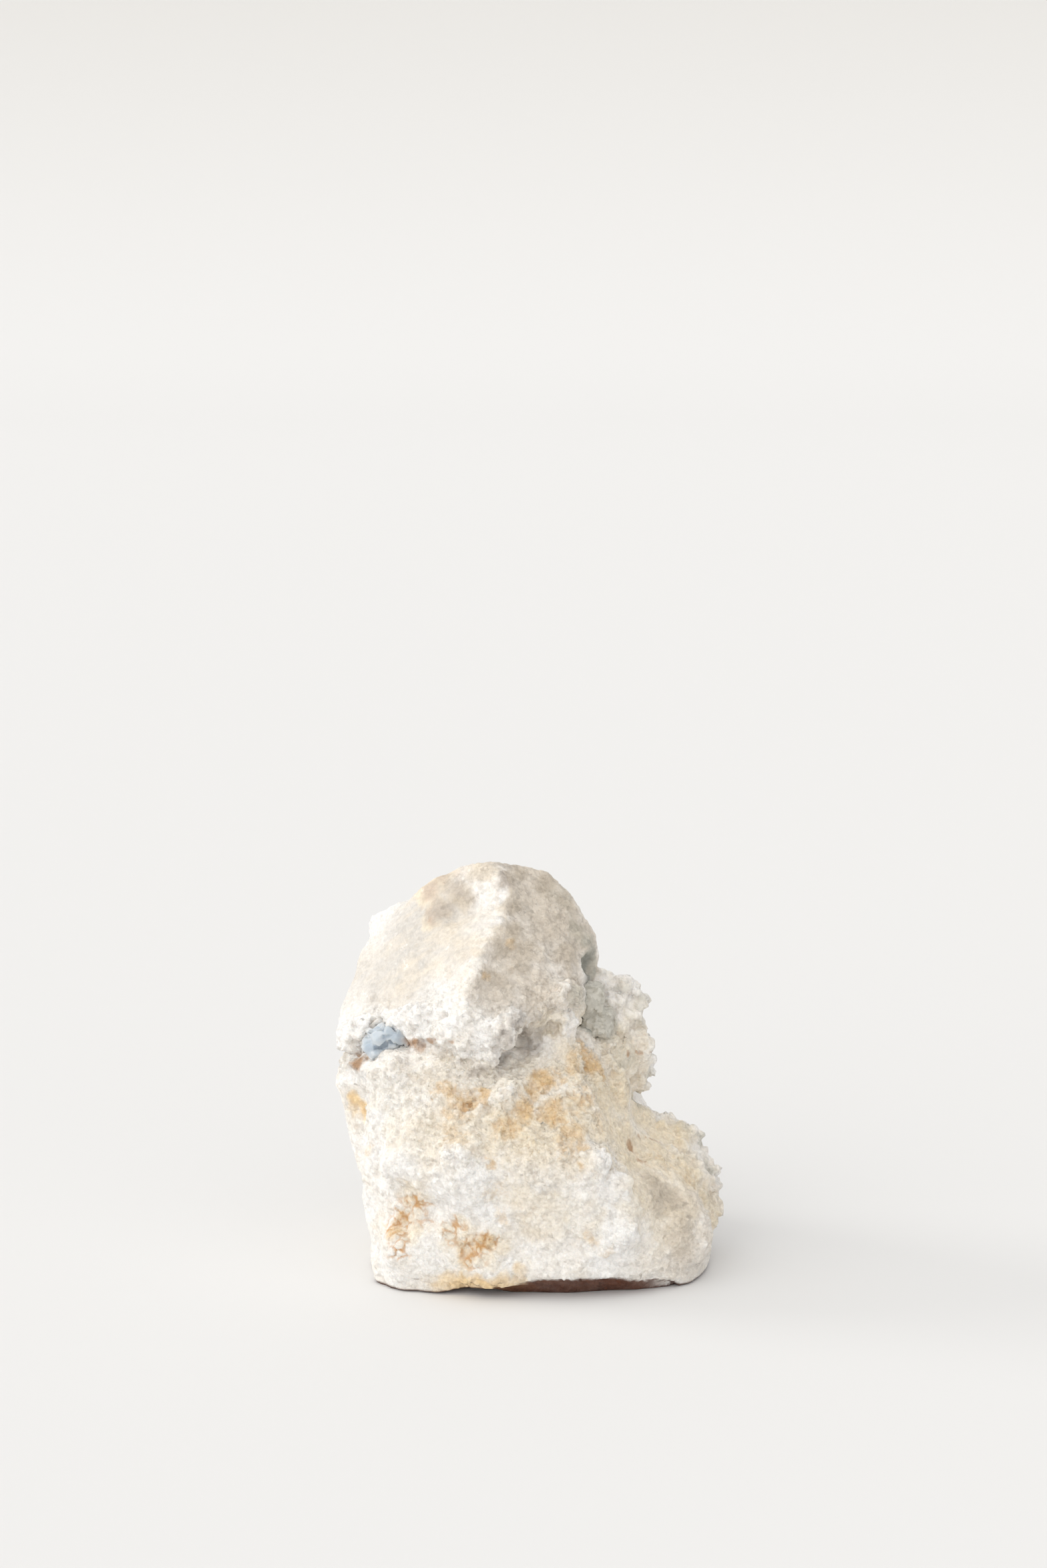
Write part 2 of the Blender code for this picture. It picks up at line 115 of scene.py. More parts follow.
def smoothStep(low, high, value):
    share = np.clip((value - low) / (high - low), 0, 1)
    return share * share * (3 - 2 * share)


def edgeStep(edge, value):
    # a smoothStep whose two ends are in mm
    return smoothStep(edge[0] * mm, edge[1] * mm, value)


def closeness(points, spots):
    # each spot is (x, y, z, radius, strength) in mm: full up to a quarter of its radius, 0 at its radius
    best = np.zeros(len(points))
    for x, y, z, radius, strength in spots:
        away = np.linalg.norm(points - np.array((x, y, z)) * mm, axis=1) / (radius * mm)
        best = np.maximum(best, strength * (1 - smoothStep(0.25, 1.0, away)))
    return best


def wandered(points, size, distance):
    # the points moved by a smooth random field, which gives stains and painted shade their ragged outlines
    field = np.array([noise.noise_vector(Vector(point / (size * mm))) for point in points])
    return points + field * distance * mm


print("stage: helpers ready")


# Camera: the photo is taken from a little above with a long lens

photoView = {
    "lens": 85,
    "film": 36,
    "aim": (-1.256, -0.678, 36.0),
    "distance": 693.6,
    "elevation": 16,
    "pitch": 11.615,
}


def makeCamera(values):
    elevation = math.radians(values["elevation"])
    pitch = math.radians(values["pitch"])
    back = Vector((0, -math.cos(elevation), math.sin(elevation)))
    look = Vector((0, math.cos(pitch), -math.sin(pitch)))
    data = bpy.data.cameras.new("photoCamera")
    data.lens = values["lens"]
    data.sensor_width = values["film"]
    camera = bpy.data.objects.new("photoCamera", data)
    bpy.context.scene.collection.objects.link(camera)
    camera.location = (Vector(values["aim"]) + back * values["distance"]) * mm
    camera.rotation_euler = look.to_track_quat("-Z", "Y").to_euler()
    bpy.context.scene.camera = camera


makeCamera(photoView)

# Light: a low window at the left and the bright wall beside it, a white room in front, and light from
# above and behind. Each has its strength, its angle across in degrees and the side that it comes from

studio = {
    "windowStrength": 0.78,
    "windowAngle": 24,
    "windowFrom": (-0.9, 0.22, 0.36),
    "roomStrength": 1.22,
    "roomAngle": 140,
    "roomFrom": (-0.2, -0.8, 0.56),
    "skyStrength": 0.3,
    "skyAngle": 80,
    "skyFrom": (-0.2, 0.45, 0.87),
    "wallStrength": 0.6,
    "wallAngle": 60,
    "wallFrom": (-0.62, -0.6, 0.5),
    "lightColour": "#FFFDF9",
    "fillStrength": 0.62,
    "fillColour": "#FFFEFD",
}


def linearColour(hexCode):
    values = [int(hexCode[start:start + 2], 16) / 255 for start in (1, 3, 5)]
    return [v / 12.92 if v <= 0.04045 else ((v + 0.055) / 1.055) ** 2.4 for v in values] + [1.0]


def makeSun(name, strength, angle, towards, colour):
    data = bpy.data.lights.new(name, "SUN")
    data.energy = strength
    data.angle = math.radians(angle)
    data.color = linearColour(colour)[:3]
    lamp = bpy.data.objects.new(name, data)
    bpy.context.scene.collection.objects.link(lamp)
    lamp.rotation_euler = Vector(towards).to_track_quat("Z", "Y").to_euler()
    lamp.location = towards


def makeLights(values):
    for name in ("window", "room", "sky", "wall"):
        makeSun(name + "Light", values[name + "Strength"], values[name + "Angle"], values[name + "From"],
                values["lightColour"])
    world = bpy.data.worlds.new("whiteRoom")
    world.use_nodes = True
    background = world.node_tree.nodes["Background"]
    background.inputs["Color"].default_value = linearColour(values["fillColour"])
    background.inputs["Strength"].default_value = values["fillStrength"]
    bpy.context.scene.world = world
    bpy.context.scene.view_settings.view_transform = "Standard"


makeLights(studio)
print("stage: camera and lights ready")


# Materials

def addNode(tree, kind, settings=None, links=None):
    # settings fill the node's own fields or its sockets, links join other nodes' outputs to its sockets
    node = tree.nodes.new(kind)
    for name, value in (settings or {}).items():
        if isinstance(name, str) and hasattr(node, name):
            setattr(node, name, value)
        else:
            node.inputs[name].default_value = value
    for name, (source, output) in (links or {}).items():
        tree.links.new(source.outputs[output], node.inputs[name])
    return node


def newMaterial(name):
    material = bpy.data.materials.new(name)
    material.use_nodes = True
    tree = material.node_tree
    shader = tree.nodes["Principled BSDF"]
    return material, tree, shader


def perMetre(size):
    # a pattern's Scale for features of this size in mm
    return 1 / (size * mm)


# lengths in metres, the fibre and its tooth in mm
paper = {
    "colour": "#E4E4E4",
    "wallColour": "#DAD9D7",
    "width": 5.0,
    "front": -3.0,
    "back": 1.5,
    "radius": 0.9,
    "steps": 12,
    "wallHeights": (0.02, 0.25),
    "fibre": 0.4,
    "toothStrength": 0.15,
    "toothDepth": 0.05,
    "roughness": 0.95,
    "shine": 0.1,
}


def paperMaterial(values):
    # matte background paper: rolled cotton pulp, no shine, a barely seen tooth
    material, tree, shader = newMaterial("matteBackgroundPaper")
    coords = addNode(tree, "ShaderNodeTexCoord")
    tooth = addNode(tree, "ShaderNodeTexNoise", {"Scale": perMetre(values["fibre"]), "Detail": 2.0},
                    {"Vector": (coords, "Object")})
    bump = addNode(tree, "ShaderNodeBump",
                   {"Strength": values["toothStrength"], "Distance": values["toothDepth"] * mm},
                   {"Height": (tooth, "Fac")})
    place = addNode(tree, "ShaderNodeSeparateXYZ", {}, {"Vector": (coords, "Object")})
    foot, wall = values["wallHeights"]
    up = addNode(tree, "ShaderNodeMapRange", {"From Min": foot, "From Max": wall}, {"Value": (place, "Z")})
    colour = addNode(tree, "ShaderNodeMix", {"data_type": "RGBA", 6: linearColour(values["colour"]),
                                             7: linearColour(values["wallColour"])}, {0: (up, "Result")})
    tree.links.new(colour.outputs[2], shader.inputs["Base Color"])
    shader.inputs["Roughness"].default_value = values["roughness"]
    shader.inputs["Specular IOR Level"].default_value = values["shine"]
    tree.links.new(bump.outputs["Normal"], shader.inputs["Normal"])
    return material


def makePaper(values):
    # a flat sheet whose far edge is drawn up in short steps round a quarter circle
    deselectAll()
    middle = (values["front"] + values["back"]) / 2
    bpy.ops.mesh.primitive_plane_add(size=1, location=(0, middle, 0))
    sweep = bpy.context.object
    sweep.name = "backgroundPaper"
    sweep.scale = (values["width"], values["back"] - values["front"], 1)
    bpy.ops.object.transform_apply(location=True, rotation=True, scale=True)
    bpy.ops.object.mode_set(mode="EDIT")
    bpy.ops.mesh.select_all(action="DESELECT")
    bpy.ops.object.mode_set(mode="OBJECT")
    for edge in sweep.data.edges:
        edge.select = all(sweep.data.vertices[v].co.y > middle for v in edge.vertices)
    bpy.ops.object.mode_set(mode="EDIT")
    last = Vector((0, 0))
    for step in range(1, values["steps"] + 1):
        turn = math.radians(90) * step / values["steps"]
        point = Vector((math.sin(turn), 1 - math.cos(turn))) * values["radius"]
        move = point - last
        bpy.ops.mesh.extrude_region_move(TRANSFORM_OT_translate={"value": (0, move.x, move.y)})
        last = point
    bpy.ops.object.mode_set(mode="OBJECT")
    sweep.data.shade_smooth()
    sweep.data.materials.append(paperMaterial(values))


makePaper(paper)
print("stage: paper laid")


# The stone's regions, as spots in mm

regions = {
    "lip": (
        (-18, -14, 48, 7, 1), (-10, -17, 46, 7, 1), (-4, -19, 46, 7, 1), (4, -13, 50, 7, 1),
        (-8, -21, 43, 5, 1), (9, -7, 50, 5, 0.8), (9, -28, 26, 5, 0.8), (13, -25, 26, 4, 0.7),
    ),
    "sugary": (
        (-18, -14, 48, 9, 1), (-10, -17, 47, 9, 1), (-3, -18, 48, 8, 1), (5, -13, 52, 8, 1),
        (-27, -9, 39, 9, 0.9), (-20, -18, 36, 13, 0.9), (-6, -21, 36, 13, 1), (6, -18, 36, 12, 1),
        (-14, -25, 28, 11, 0.8), (2, -25, 29, 11, 1), (11, -10, 40, 9, 0.8), (12, -24, 26, 8, 0.7),
        (8, -9, 52, 6, 0.9), (-28, -7, 48, 6, 0.8), (-31, -6, 42, 7, 0.9), (-33, -2, 38, 6, 0.9),
        (-29, -14, 32, 7, 0.7),
    ),
    "blocky": (
        (17, 2, 50, 7, 1), (20, 2, 46, 7, 1), (20, 1, 40, 7, 1), (21, 2, 34, 7, 1), (16, -3, 42, 7, 1),
        (15, -5, 35, 7, 0.9), (24, 3, 26, 6, 0.9), (30, 3, 22, 7, 1), (34, 1, 15, 7, 1),
        (35, -3, 9, 7, 0.8), (29, -4, 19, 8, 0.6),
    ),
    "hollow": (
        (-4, -14, 43, 4, 0.7), (0, -12, 45, 5, 1), (4, -10, 47, 5, 1), (7, -10, 48, 3, 1),
        (-10, -15, 42, 3.4, 0.6), (11, -3, 57, 3, 0.8), (12, -3, 50, 4, 0.6),
    ),
    "honeycomb": (
        (-22.4, -22.6, 18, 4, 0.7), (-20.6, -24, 17, 4, 0.9), (-24.4, -22.6, 13, 4.6, 1),
        (-23.6, -25, 9, 4, 1), (-19, -24.5, 14, 3, 0.6), (-13.8, -26.2, 12.5, 3.6, 0.9),
        (-11, -26.4, 10.4, 4, 1), (-8.4, -27.3, 11, 4, 1), (-10, -28, 7.6, 3.6, 0.9),
    ),
    "smooth": (
        (-20, 0, 62, 15, 1), (-14, -3, 61, 12, 1), (-26, -2, 54, 10, 0.9), (-22, -6, 56, 11, 1),
        (-30, 4, 51, 10, 0.8), (-12, -9, 60, 7, 0.9),
    ),
    "wall": (
        (-14, -26, 20, 12, 0.7), (-4, -28, 16, 13, 0.8), (8, -28, 14, 14, 0.8), (22, -22, 12, 14, 1),
        (30, -10, 14, 12, 1), (20, -14, 24, 10, 1), (-26, -20, 18, 10, 0.6), (0, -28, 8, 12, 0.6),
        (4, -8, 62, 12, 0.5), (-2, -12, 58, 8, 0.5),
    ),
}

# Where each stain and each patch of painted light and shade lies on the stone, as spots in mm

stainsAndShades = {
    # painted light, near white, lifting places the stone's form leaves in shade: the front under the slab,
    # the lip, the cleft's left end and the foot
    "paintedLight": (
        (-11.5, -27, 23, 8, 1), (-33, -3, 41.6, 4, 1), (-30, -10, 46, 4, 0.8), (-15, -26.5, 19, 7, 0.9),
        (-8, -28, 19, 6, 0.8), (-18, -25, 28, 5, 0.6), (-18, -25, 8, 6, 0.8), (-13, -27, 7, 5, 0.6),
        (16, -27.5, 13, 5, 0.9), (17, -27, 17, 5, 0.8), (-25.5, -18, 37, 6, 0.9), (-33, -5, 36, 5, 0.9),
        (-32, -6, 43, 5, 0.9), (-24, -13, 46.8, 5, 0.9), (-21, -14, 46, 4, 0.9), (3.2, -12, 49, 5, 0.8),
        (7.5, -22.5, 31.5, 5, 0.8), (-28, -10, 44, 5, 0.8), (4, -28, 6, 8, 0.5), (14, -26.5, 6, 7, 0.6),
    ),
    "cream": (
        (-23.5, -23, 31, 9, 0.4), (-17.4, -25, 30.5, 9, 0.6), (-11.4, -26, 32, 8, 0.7),
        (-5.3, -26, 32, 8, 0.9), (0.7, -26, 31, 9, 0.9), (6.7, -23, 32.4, 9, 0.9), (-16, -21, 38, 9, 0.5),
        (-8, -21, 38, 9, 0.5), (0, -19, 39, 10, 0.6), (8, -15, 39, 9, 0.8), (-1.7, -29, 26.7, 5, 0.5),
        (8, -28, 27.6, 6, 0.5), (-26, -18, 36, 7, 0.4), (13, -13.7, 34.6, 10, 1), (16.7, -14, 27, 9, 1),
        (23, -10.4, 22, 10, 1), (29, -9, 18, 10, 1), (17.6, -27, 18.5, 8, 0.2), (25, -21, 11.4, 9, 0.7),
        (33, -6, 10, 9, 0.9), (20, -22, 18, 9, 0.8), (26, -17, 14, 9, 0.9), (30, -12, 10, 8, 0.8),
        (4, -27, 22, 8, 0.3), (12.2, -21.4, 30.6, 6, 0.9), (7.9, -21.4, 35, 6, 0.9),
        (16.8, -4.5, 39.7, 8, 0.8), (16.8, -8, 33, 9, 1), (20.7, -1, 27, 8, 1), (25.7, -2, 23.4, 8, 1),
        (22.7, -19, 19.7, 6, 0.9), (16, -17, 29, 7, 1), (19, -18, 24, 7, 1), (19, -2, 36, 9, 0.6),
        (20, 0, 44, 7, 0.4), (-19, 3.8, 69.5, 6, 1), (-17.8, -1.7, 65, 4, 0.8), (-16, 3.5, 71, 5, 1),
        (-18, 0, 68, 4, 0.9), (-13, -0.5, 69, 5, 0.7), (-9, 2, 74, 5, 0.8), (-20, -5, 59.6, 8, 0.2),
        (-14, -5, 64, 8, 0.3), (-2, -27, 21, 8, 0.5), (4, -28, 17, 8, 0.5), (12, -26, 25, 5, 0.6),
        (10, -27, 15, 8, 0.4), (13.5, -25, 26.5, 5, 0.9), (-21.5, -25.5, 12, 4, 0.7),
        (-21, -24, 20, 6, 0.7), (-23, -24, 13, 5, 0.6), (-12, -27, 8, 6, 0.7), (-7, -28, 10, 6, 0.7),
        (3.5, -13, 48, 5, 0.7), (9, -8.5, 48.5, 5, 0.7), (-22.6, -25, 14, 4, 0.6),
        (-12.8, -26.2, 12, 5, 0.8), (0, -27.6, 14, 6, 0.5), (-16, -21, 35, 5, 0.6), (14, -24, 22, 4, 0.6),
        (-22, -24, 16, 5, 0.5),
    ),
    # painted shade, beige, on the faces turned from the window, right of the crest and on the lower right;
    # partly the beige tint these faces really have
    "shade": (
        (-3, -8.6, 61, 10, 1), (3.2, -2.7, 64.7, 10, 1), (0.7, -12, 54.5, 8, 0.9), (9, -8, 55, 7, 0.8),
        (-6, -15, 55, 7, 0.9), (-1.7, -2.8, 69.8, 10, 1), (4.4, 1.3, 68.8, 10, 1), (9.4, -0.8, 61.7, 10, 1),
        (-1, 2, 74, 8, 1), (7, 8, 70, 12, 1), (3.2, 2.4, 70.5, 7, 1), (6.9, 2, 67.4, 7, 1),
        (9, -12.3, 53.2, 5, 0.9), (6.9, -5.3, 59, 6, 1), (11.3, -0.1, 55.1, 5, 1), (35, -2, 12, 8, 0.3),
        (30, -14, 9, 9, 0.7), (33, -12, 4, 8, 0.4), (31, -17, 4, 7, 0.6), (33.5, -6, 6, 9, 0.3),
        (27, -19, 8, 8, 0.9), (31, -14, 12, 8, 0.8), (13, -27, 25, 4, 0.5), (23, -19, 18, 6, 0.7),
        (26, -18, 17, 5, 0.6),
    ),
    # painted shade, dark grey, in the notch and the recess at the right of the upper block and in two small
    # crevices
    "notchShade": (
        (11.6, -0.6, 55.2, 3.6, 0.9), (11, 0, 58.6, 2.6, 0.3), (11.8, -2, 53.6, 3.6, 1),
        (10.6, -4.4, 48, 3, 1), (11.2, -4.1, 45, 3, 0.9), (19.4, 1, 29, 2.2, 0.8), (34, 0.6, 16, 1.6, 0.5),
        (12.4, -3, 50, 2.6, 0.7),
    ),
    # painted shade, grey, in the dish of the dent on the upper block and on the crest's top
    "dentShade": (
        (-17, -2, 67.5, 5.4, 1), (-17.7, -0.5, 68.4, 3, 1), (-11.6, -1, 68.1, 4.4, 0.5),
        (-14.1, 0.7, 70.2, 5, 0.8), (-6.1, -2, 73.1, 2.6, 0.7), (-9.4, 1, 73, 4, 0.5),
        (-16, -2.6, 69.6, 4.4, 1), (-14, -1, 70, 4, 1), (-12.4, -2, 69, 3.4, 0.8),
        (-18, -3, 67.6, 3.4, 0.7), (-8, 2, 74.4, 4, 0.6), (-4, 2, 74.6, 3, 0.6), (-5.6, -2.8, 72.8, 4, 1),
    ),
    "tan": (
        (-19, 2.4, 70, 4, 1), (-20, -1, 67, 3.4, 1), (-18.4, -3, 65.4, 2.6, 0.7), (-16, 4, 72, 3.4, 0.8),
        (-21.4, 1, 66.6, 3, 0.6), (-13, 3, 74, 3, 0.5),
    ),
    # painted light, warm and pale, along the lit crest and over the upper left face that faces the window
    "paintedCrestLight": (
        (-4.8, -4.2, 70.1, 2, 0.9), (-5.2, -5.6, 68, 2, 1), (-5.9, -6.7, 66.3, 2.2, 1),
        (-6.8, -8.4, 64.6, 2.2, 1), (-7.7, -9.8, 63.3, 2.4, 1), (-9.8, -9.6, 63.5, 3.4, 0.8),
        (-9.2, -12, 61.2, 2.4, 0.9), (-15.2, -6.4, 62.7, 4.4, 0.5), (-17.3, -10.2, 57.3, 4.4, 0.7),
        (-12.4, -10, 61, 4, 0.6), (-22.8, -5.7, 56.2, 4.4, 0.6), (-26, -6, 51, 5, 0.4),
        (-28, -6, 48, 4, 0.4),
    ),
    # painted shade, darker beige, just right of the crest and on the lower right lobe, on faces turned from
    # the window
    "paintedRightShade": (
        (-2.5, -5, 67, 3, 1), (-3.5, -7.5, 64, 3, 1), (-5, -10.5, 61.5, 3, 1), (-7, -14, 58, 2.4, 0.8),
        (-2, 0, 73.6, 4, 1), (-5, -1.5, 72.6, 3, 0.8), (3.2, 2.4, 70.5, 4, 1), (6.9, 2, 67.4, 4, 1),
        (8.8, -0.3, 62.8, 4.4, 1), (10.5, 0, 58, 4, 0.6), (11.3, -0.1, 55.1, 4, 0.7), (2, -5, 62, 8, 0.4),
        (6.9, -5.3, 59, 5, 0.8), (0, -7.5, 60, 5, 0.9), (-2, -10, 58, 4, 0.7), (25, -19.4, 17, 6, 0.9),
        (28, -19.4, 13, 5, 0.7), (22.7, -19.5, 20, 3.4, 0.8), (-4.6, -13, 56, 4, 0.6), (9, -8, 54, 4, 0.7),
        (24, -19, 16, 6, 0.5), (28, -16, 10, 5, 0.4),
    ),
    "ochre": (
        (-18, -21.5, 37, 2.6, 0.6), (-16.5, -21.9, 38, 2.4, 0.7), (-14.4, -22, 37.4, 2.4, 0.8),
        (-12.1, -22.2, 35.6, 3.2, 1), (-9.1, -22.5, 36.8, 2.8, 0.9), (-13.4, -23.7, 34.3, 3, 0.7),
        (2, -18.9, 38.6, 3.2, 1), (1, -20, 36.7, 3.4, 0.8), (4.7, -22.9, 33.5, 4, 0.9),
        (-0.7, -23.3, 34.2, 3.6, 0.9), (7.1, -21.7, 33.7, 3.6, 0.3), (-4, -25.5, 32, 3.6, 0.8),
        (4.4, -17.6, 38, 3.6, 0.7), (9.3, -10, 41.8, 3.4, 0.9), (11.2, -9.6, 39.2, 4, 1),
        (13, -9.5, 37, 4, 0.8), (8, -14, 40, 4, 0.7), (12.2, -19, 31, 5, 0.3), (9, -19, 36, 4, 0.5),
        (6, -27, 29, 4, 0.6), (8, -26, 31, 4, 0.7), (-14, -26, 30, 5, 0.35), (-7, -28, 21, 5, 0.3),
        (-6.7, -28.9, 26.9, 2.2, 0.7), (8, -29, 25.6, 1.8, 0.8), (9.3, -26.7, 28.3, 2.4, 0.7),
        (-8.4, -13.9, 56.9, 2.6, 0.7), (-3.7, -9.4, 62, 2.6, 0.5), (-5.4, -27.8, 16, 2.4, 0.4),
        (11, -27.5, 12.3, 3, 0.4), (13.4, -27, 9, 3, 0.35), (24, -11, 21, 4, 0.35), (29, -9.3, 18, 4, 0.35),
        (-29.4, -18, 25.6, 1.8, 0.5), (-22.4, -22.6, 18, 3.2, 0.7), (-20.6, -24, 17, 3, 0.6),
        (-24.4, -22.6, 13.6, 3, 0.6), (-9, -27.4, 11, 3.2, 0.9), (-11.6, -27, 6.8, 3.4, 0.6),
        (-11, -27.4, 10, 5, 0.5), (-25, -24.6, 12.5, 3, 0.9),
    ),
    "brown": (
        (-17.8, -17.8, 46.2, 1.5, 0.9), (-16.4, -19, 46.5, 1.4, 0.9), (-14.7, -20.5, 46.8, 1.6, 0.9),
        (-21.4, -15, 44.6, 2.6, 1), (-20, -16.4, 43.6, 1.8, 0.7), (-31.5, -12, 40.2, 2.6, 1),
        (-31.5, -8, 39.6, 3, 1), (-30, -11.5, 40, 2.6, 1), (-31, -7, 38, 2.8, 1), (-30, -9.5, 38.4, 2.4, 1),
        (-33.4, -8, 38.1, 2.2, 0.7), (-3.7, -18.3, 44.8, 2.4, 0.6), (-1.6, -15, 44.4, 2.4, 0.6),
        (18.7, -12.6, 24.1, 2.2, 1), (20.1, -14, 22.2, 2.4, 1), (20.5, -8, 25, 1.2, 0.8),
        (22.2, -7, 24, 1, 0.7), (23.8, -6.1, 23.1, 1.3, 0.8), (17.5, -3.5, 40.8, 1.2, 0.9),
        (19.4, -1.6, 40.5, 1.1, 0.9), (21.3, 0, 40.1, 1.2, 0.9), (5.3, -4.1, 62.1, 1, 0.7),
        (8, -29.1, 25.6, 1, 0.6), (-17.8, -1.7, 65, 1.6, 0.4), (-21.5, -17.5, 44.6, 2.2, 1),
        (-22.8, -16, 44.4, 2, 1),
    ),
    "orange": (
        (-32.2, -6.8, 30.2, 3.2, 1), (-30.4, -8, 29.6, 3.2, 1), (-28.8, -9.8, 29.2, 2.8, 1),
        (-16.3, -25.3, 2, 3.4, 0.8), (-12, -26.4, 2.4, 3.8, 1), (-8, -27.4, 3, 3.6, 1),
        (-4.6, -28, 3.6, 3.4, 0.9), (-1, -27.5, 4.4, 2.6, 0.7),
    ),
    # painted shade, grey-mauve, in the cleft and its hollow; at the cleft's left end it also darkens the
    # red-brown crust there
    "cleftShade": (
        (-4.1, -22.4, 47.3, 3.4, 0.8), (-2.3, -20, 50.2, 3.4, 0.8), (-0.4, -19, 49, 3.6, 0.9),
        (-0.6, -14, 46, 4.4, 1), (2, -10, 45.6, 4.4, 0.35), (4.4, -10.5, 47.7, 3.6, 0.1),
        (-5, -21, 44.6, 3, 0.4), (-9.5, -20.5, 41, 2.6, 0.9), (-7.7, -20.9, 41.6, 1.6, 0.4),
        (-3.7, -16, 43.6, 3.4, 0.9), (3.4, -15.4, 50.4, 3, 0.7), (-31.5, -11.5, 40, 3.2, 1),
        (-31.5, -8, 39.6, 3.4, 1), (-33, -8, 38.5, 2.8, 0.9), (-31, -8, 38, 3.4, 1),
        (-1, -16, 51.6, 3, 0.5),
    ),
    "green": (
        (11.2, -4.1, 45.9, 4.4, 1), (10.3, -4.9, 50, 3.4, 0.9), (13, -2.6, 51.9, 3, 0.8),
        (17.5, 0.6, 51.7, 3, 0.4), (20, 0.9, 49, 3.6, 0.4), (11.4, -0.5, 55.6, 4.2, 1),
        (13.6, 0, 54.6, 3.4, 1), (9.4, -9, 53, 3, 0.6), (10.6, 0, 60, 3, 0.8), (8.8, -0.3, 62.8, 5, 0.5),
        (9, -12, 53, 4, 0.6), (6.9, 2, 68, 6, 0.3), (16.8, -4.5, 39.7, 5, 0.5), (19.4, 1, 29, 3, 0.9),
        (14, -3, 44, 4, 0.7), (28.3, 0.7, 24, 3.4, 0.7), (31.6, 2.4, 21.3, 3.4, 0.8),
        (33.6, 0, 16.3, 3, 0.6), (21, 2, 46, 4, 0.6), (22, 2, 34, 3, 0.5),
    ),
}

# the crest of the upper block, as x and y at each height in mm: a low ridge stands on it, and the painted
# shade of the faces turned from the window lies only to its right
crestLine = {
    "heights": (50, 55.7, 59.9, 63.3, 66.3, 70.1, 73.3, 76),
    "x": (-12, -11.2, -9.2, -7.2, -5.4, -4.5, -6.1, -7),
    "y": (-18, -16.8, -13.6, -9.8, -6.7, -4.2, -1.2, 2),
    "width": 2.4,
    "raise": 0.8,
    "steps": 60,
}

# sizes in mm, the streaks' turn in degrees; each pair is where a change starts and where it is complete
stoneLook = {
    "white": "#FAF7F3",
    "warmWhite": "#F5EEE4",
    "patch": 8,
    "warmFrom": (0.42, 0.62),
    "wash": "#D3CEC7",
    "streak": "#E4DACB",
    "streakLength": 14,
    "streakWidth": 1.6,
    "streakTurn": 32,
    "streakFrom": (0.48, 0.68),
    "streakStrength": 0.7,
    "grain": 0.9,
    "fineGrain": 0.4,
    "grainTones": (0.94, 1.03),
    "seam": 0.7,
    "seamFrom": (0.36, 0.6),
    "seamTones": (0.9, 1.04),
    "bumps": (0.3, 0.9),
    "roughness": 0.62,
    "glassyRoughness": 0.25,
    "glassyFrom": (0.9, 0.94),
    "refraction": 1.434,
    "soak": 0.3,
    "soakDepth": 1.8,
    "soakColours": (1.0, 0.9, 0.8),
}

# each stain and each painted light and shade, in the order they are laid: its colour, the size of its patches
# in mm, how broken up it is, and its strength
stainAndShadeLooks = {
    # painted light, near white, that lifts shaded places
    "paintedLight": ("#FFFDFA", 2.4, 0.3, 0.95),
    "cream": ("#EEE0C7", 2.2, 0.35, 0.95),
    # painted shade, beige, for the faces turned from the window, partly their real beige tint
    "shade": ("#D6CBBC", 3.0, 0.12, 0.95),
    # painted shade, grey, for the dent's dish and the crest's top
    "dentShade": ("#BFB4A8", 2.2, 0.25, 0.95),
    "tan": ("#C9B8A8", 1.8, 0.4, 0.9),
    # painted light, warm and pale, for the lit crest and the upper left face
    "paintedCrestLight": ("#E9DDCB", 2.4, 0.4, 0.7),
    # painted shade, darker beige, right of the crest and on the right lobe
    "paintedRightShade": ("#BFB3A2", 2.0, 0.3, 0.8),
    "ochre": ("#E2BF8B", 1.1, 0.6, 0.85),
    "orange": ("#F6D8A8", 2.6, 0.4, 0.95),
    # painted shade, grey-mauve, for the cleft, partly the red-brown crust at its left end
    "cleftShade": ("#B2A9A0", 2.4, 0.4, 0.85),
    "green": ("#BEBDB1", 1.8, 0.4, 0.85),
    # painted shade, dark grey, for the notch, the recess and small crevices
    "notchShade": ("#8B8C86", 1.4, 0.3, 0.85),
    "brown": ("#B58D68", 1.0, 0.35, 0.9),
    "cellLine": ("#CE9857", 1.4, 0.35, 0.9),
    # painted shade, dark brown, for the foot, its floor contact and the undercut behind the front edge
    "under": ("#5A2A0A", 3.0, 0.1, 1.0),
}


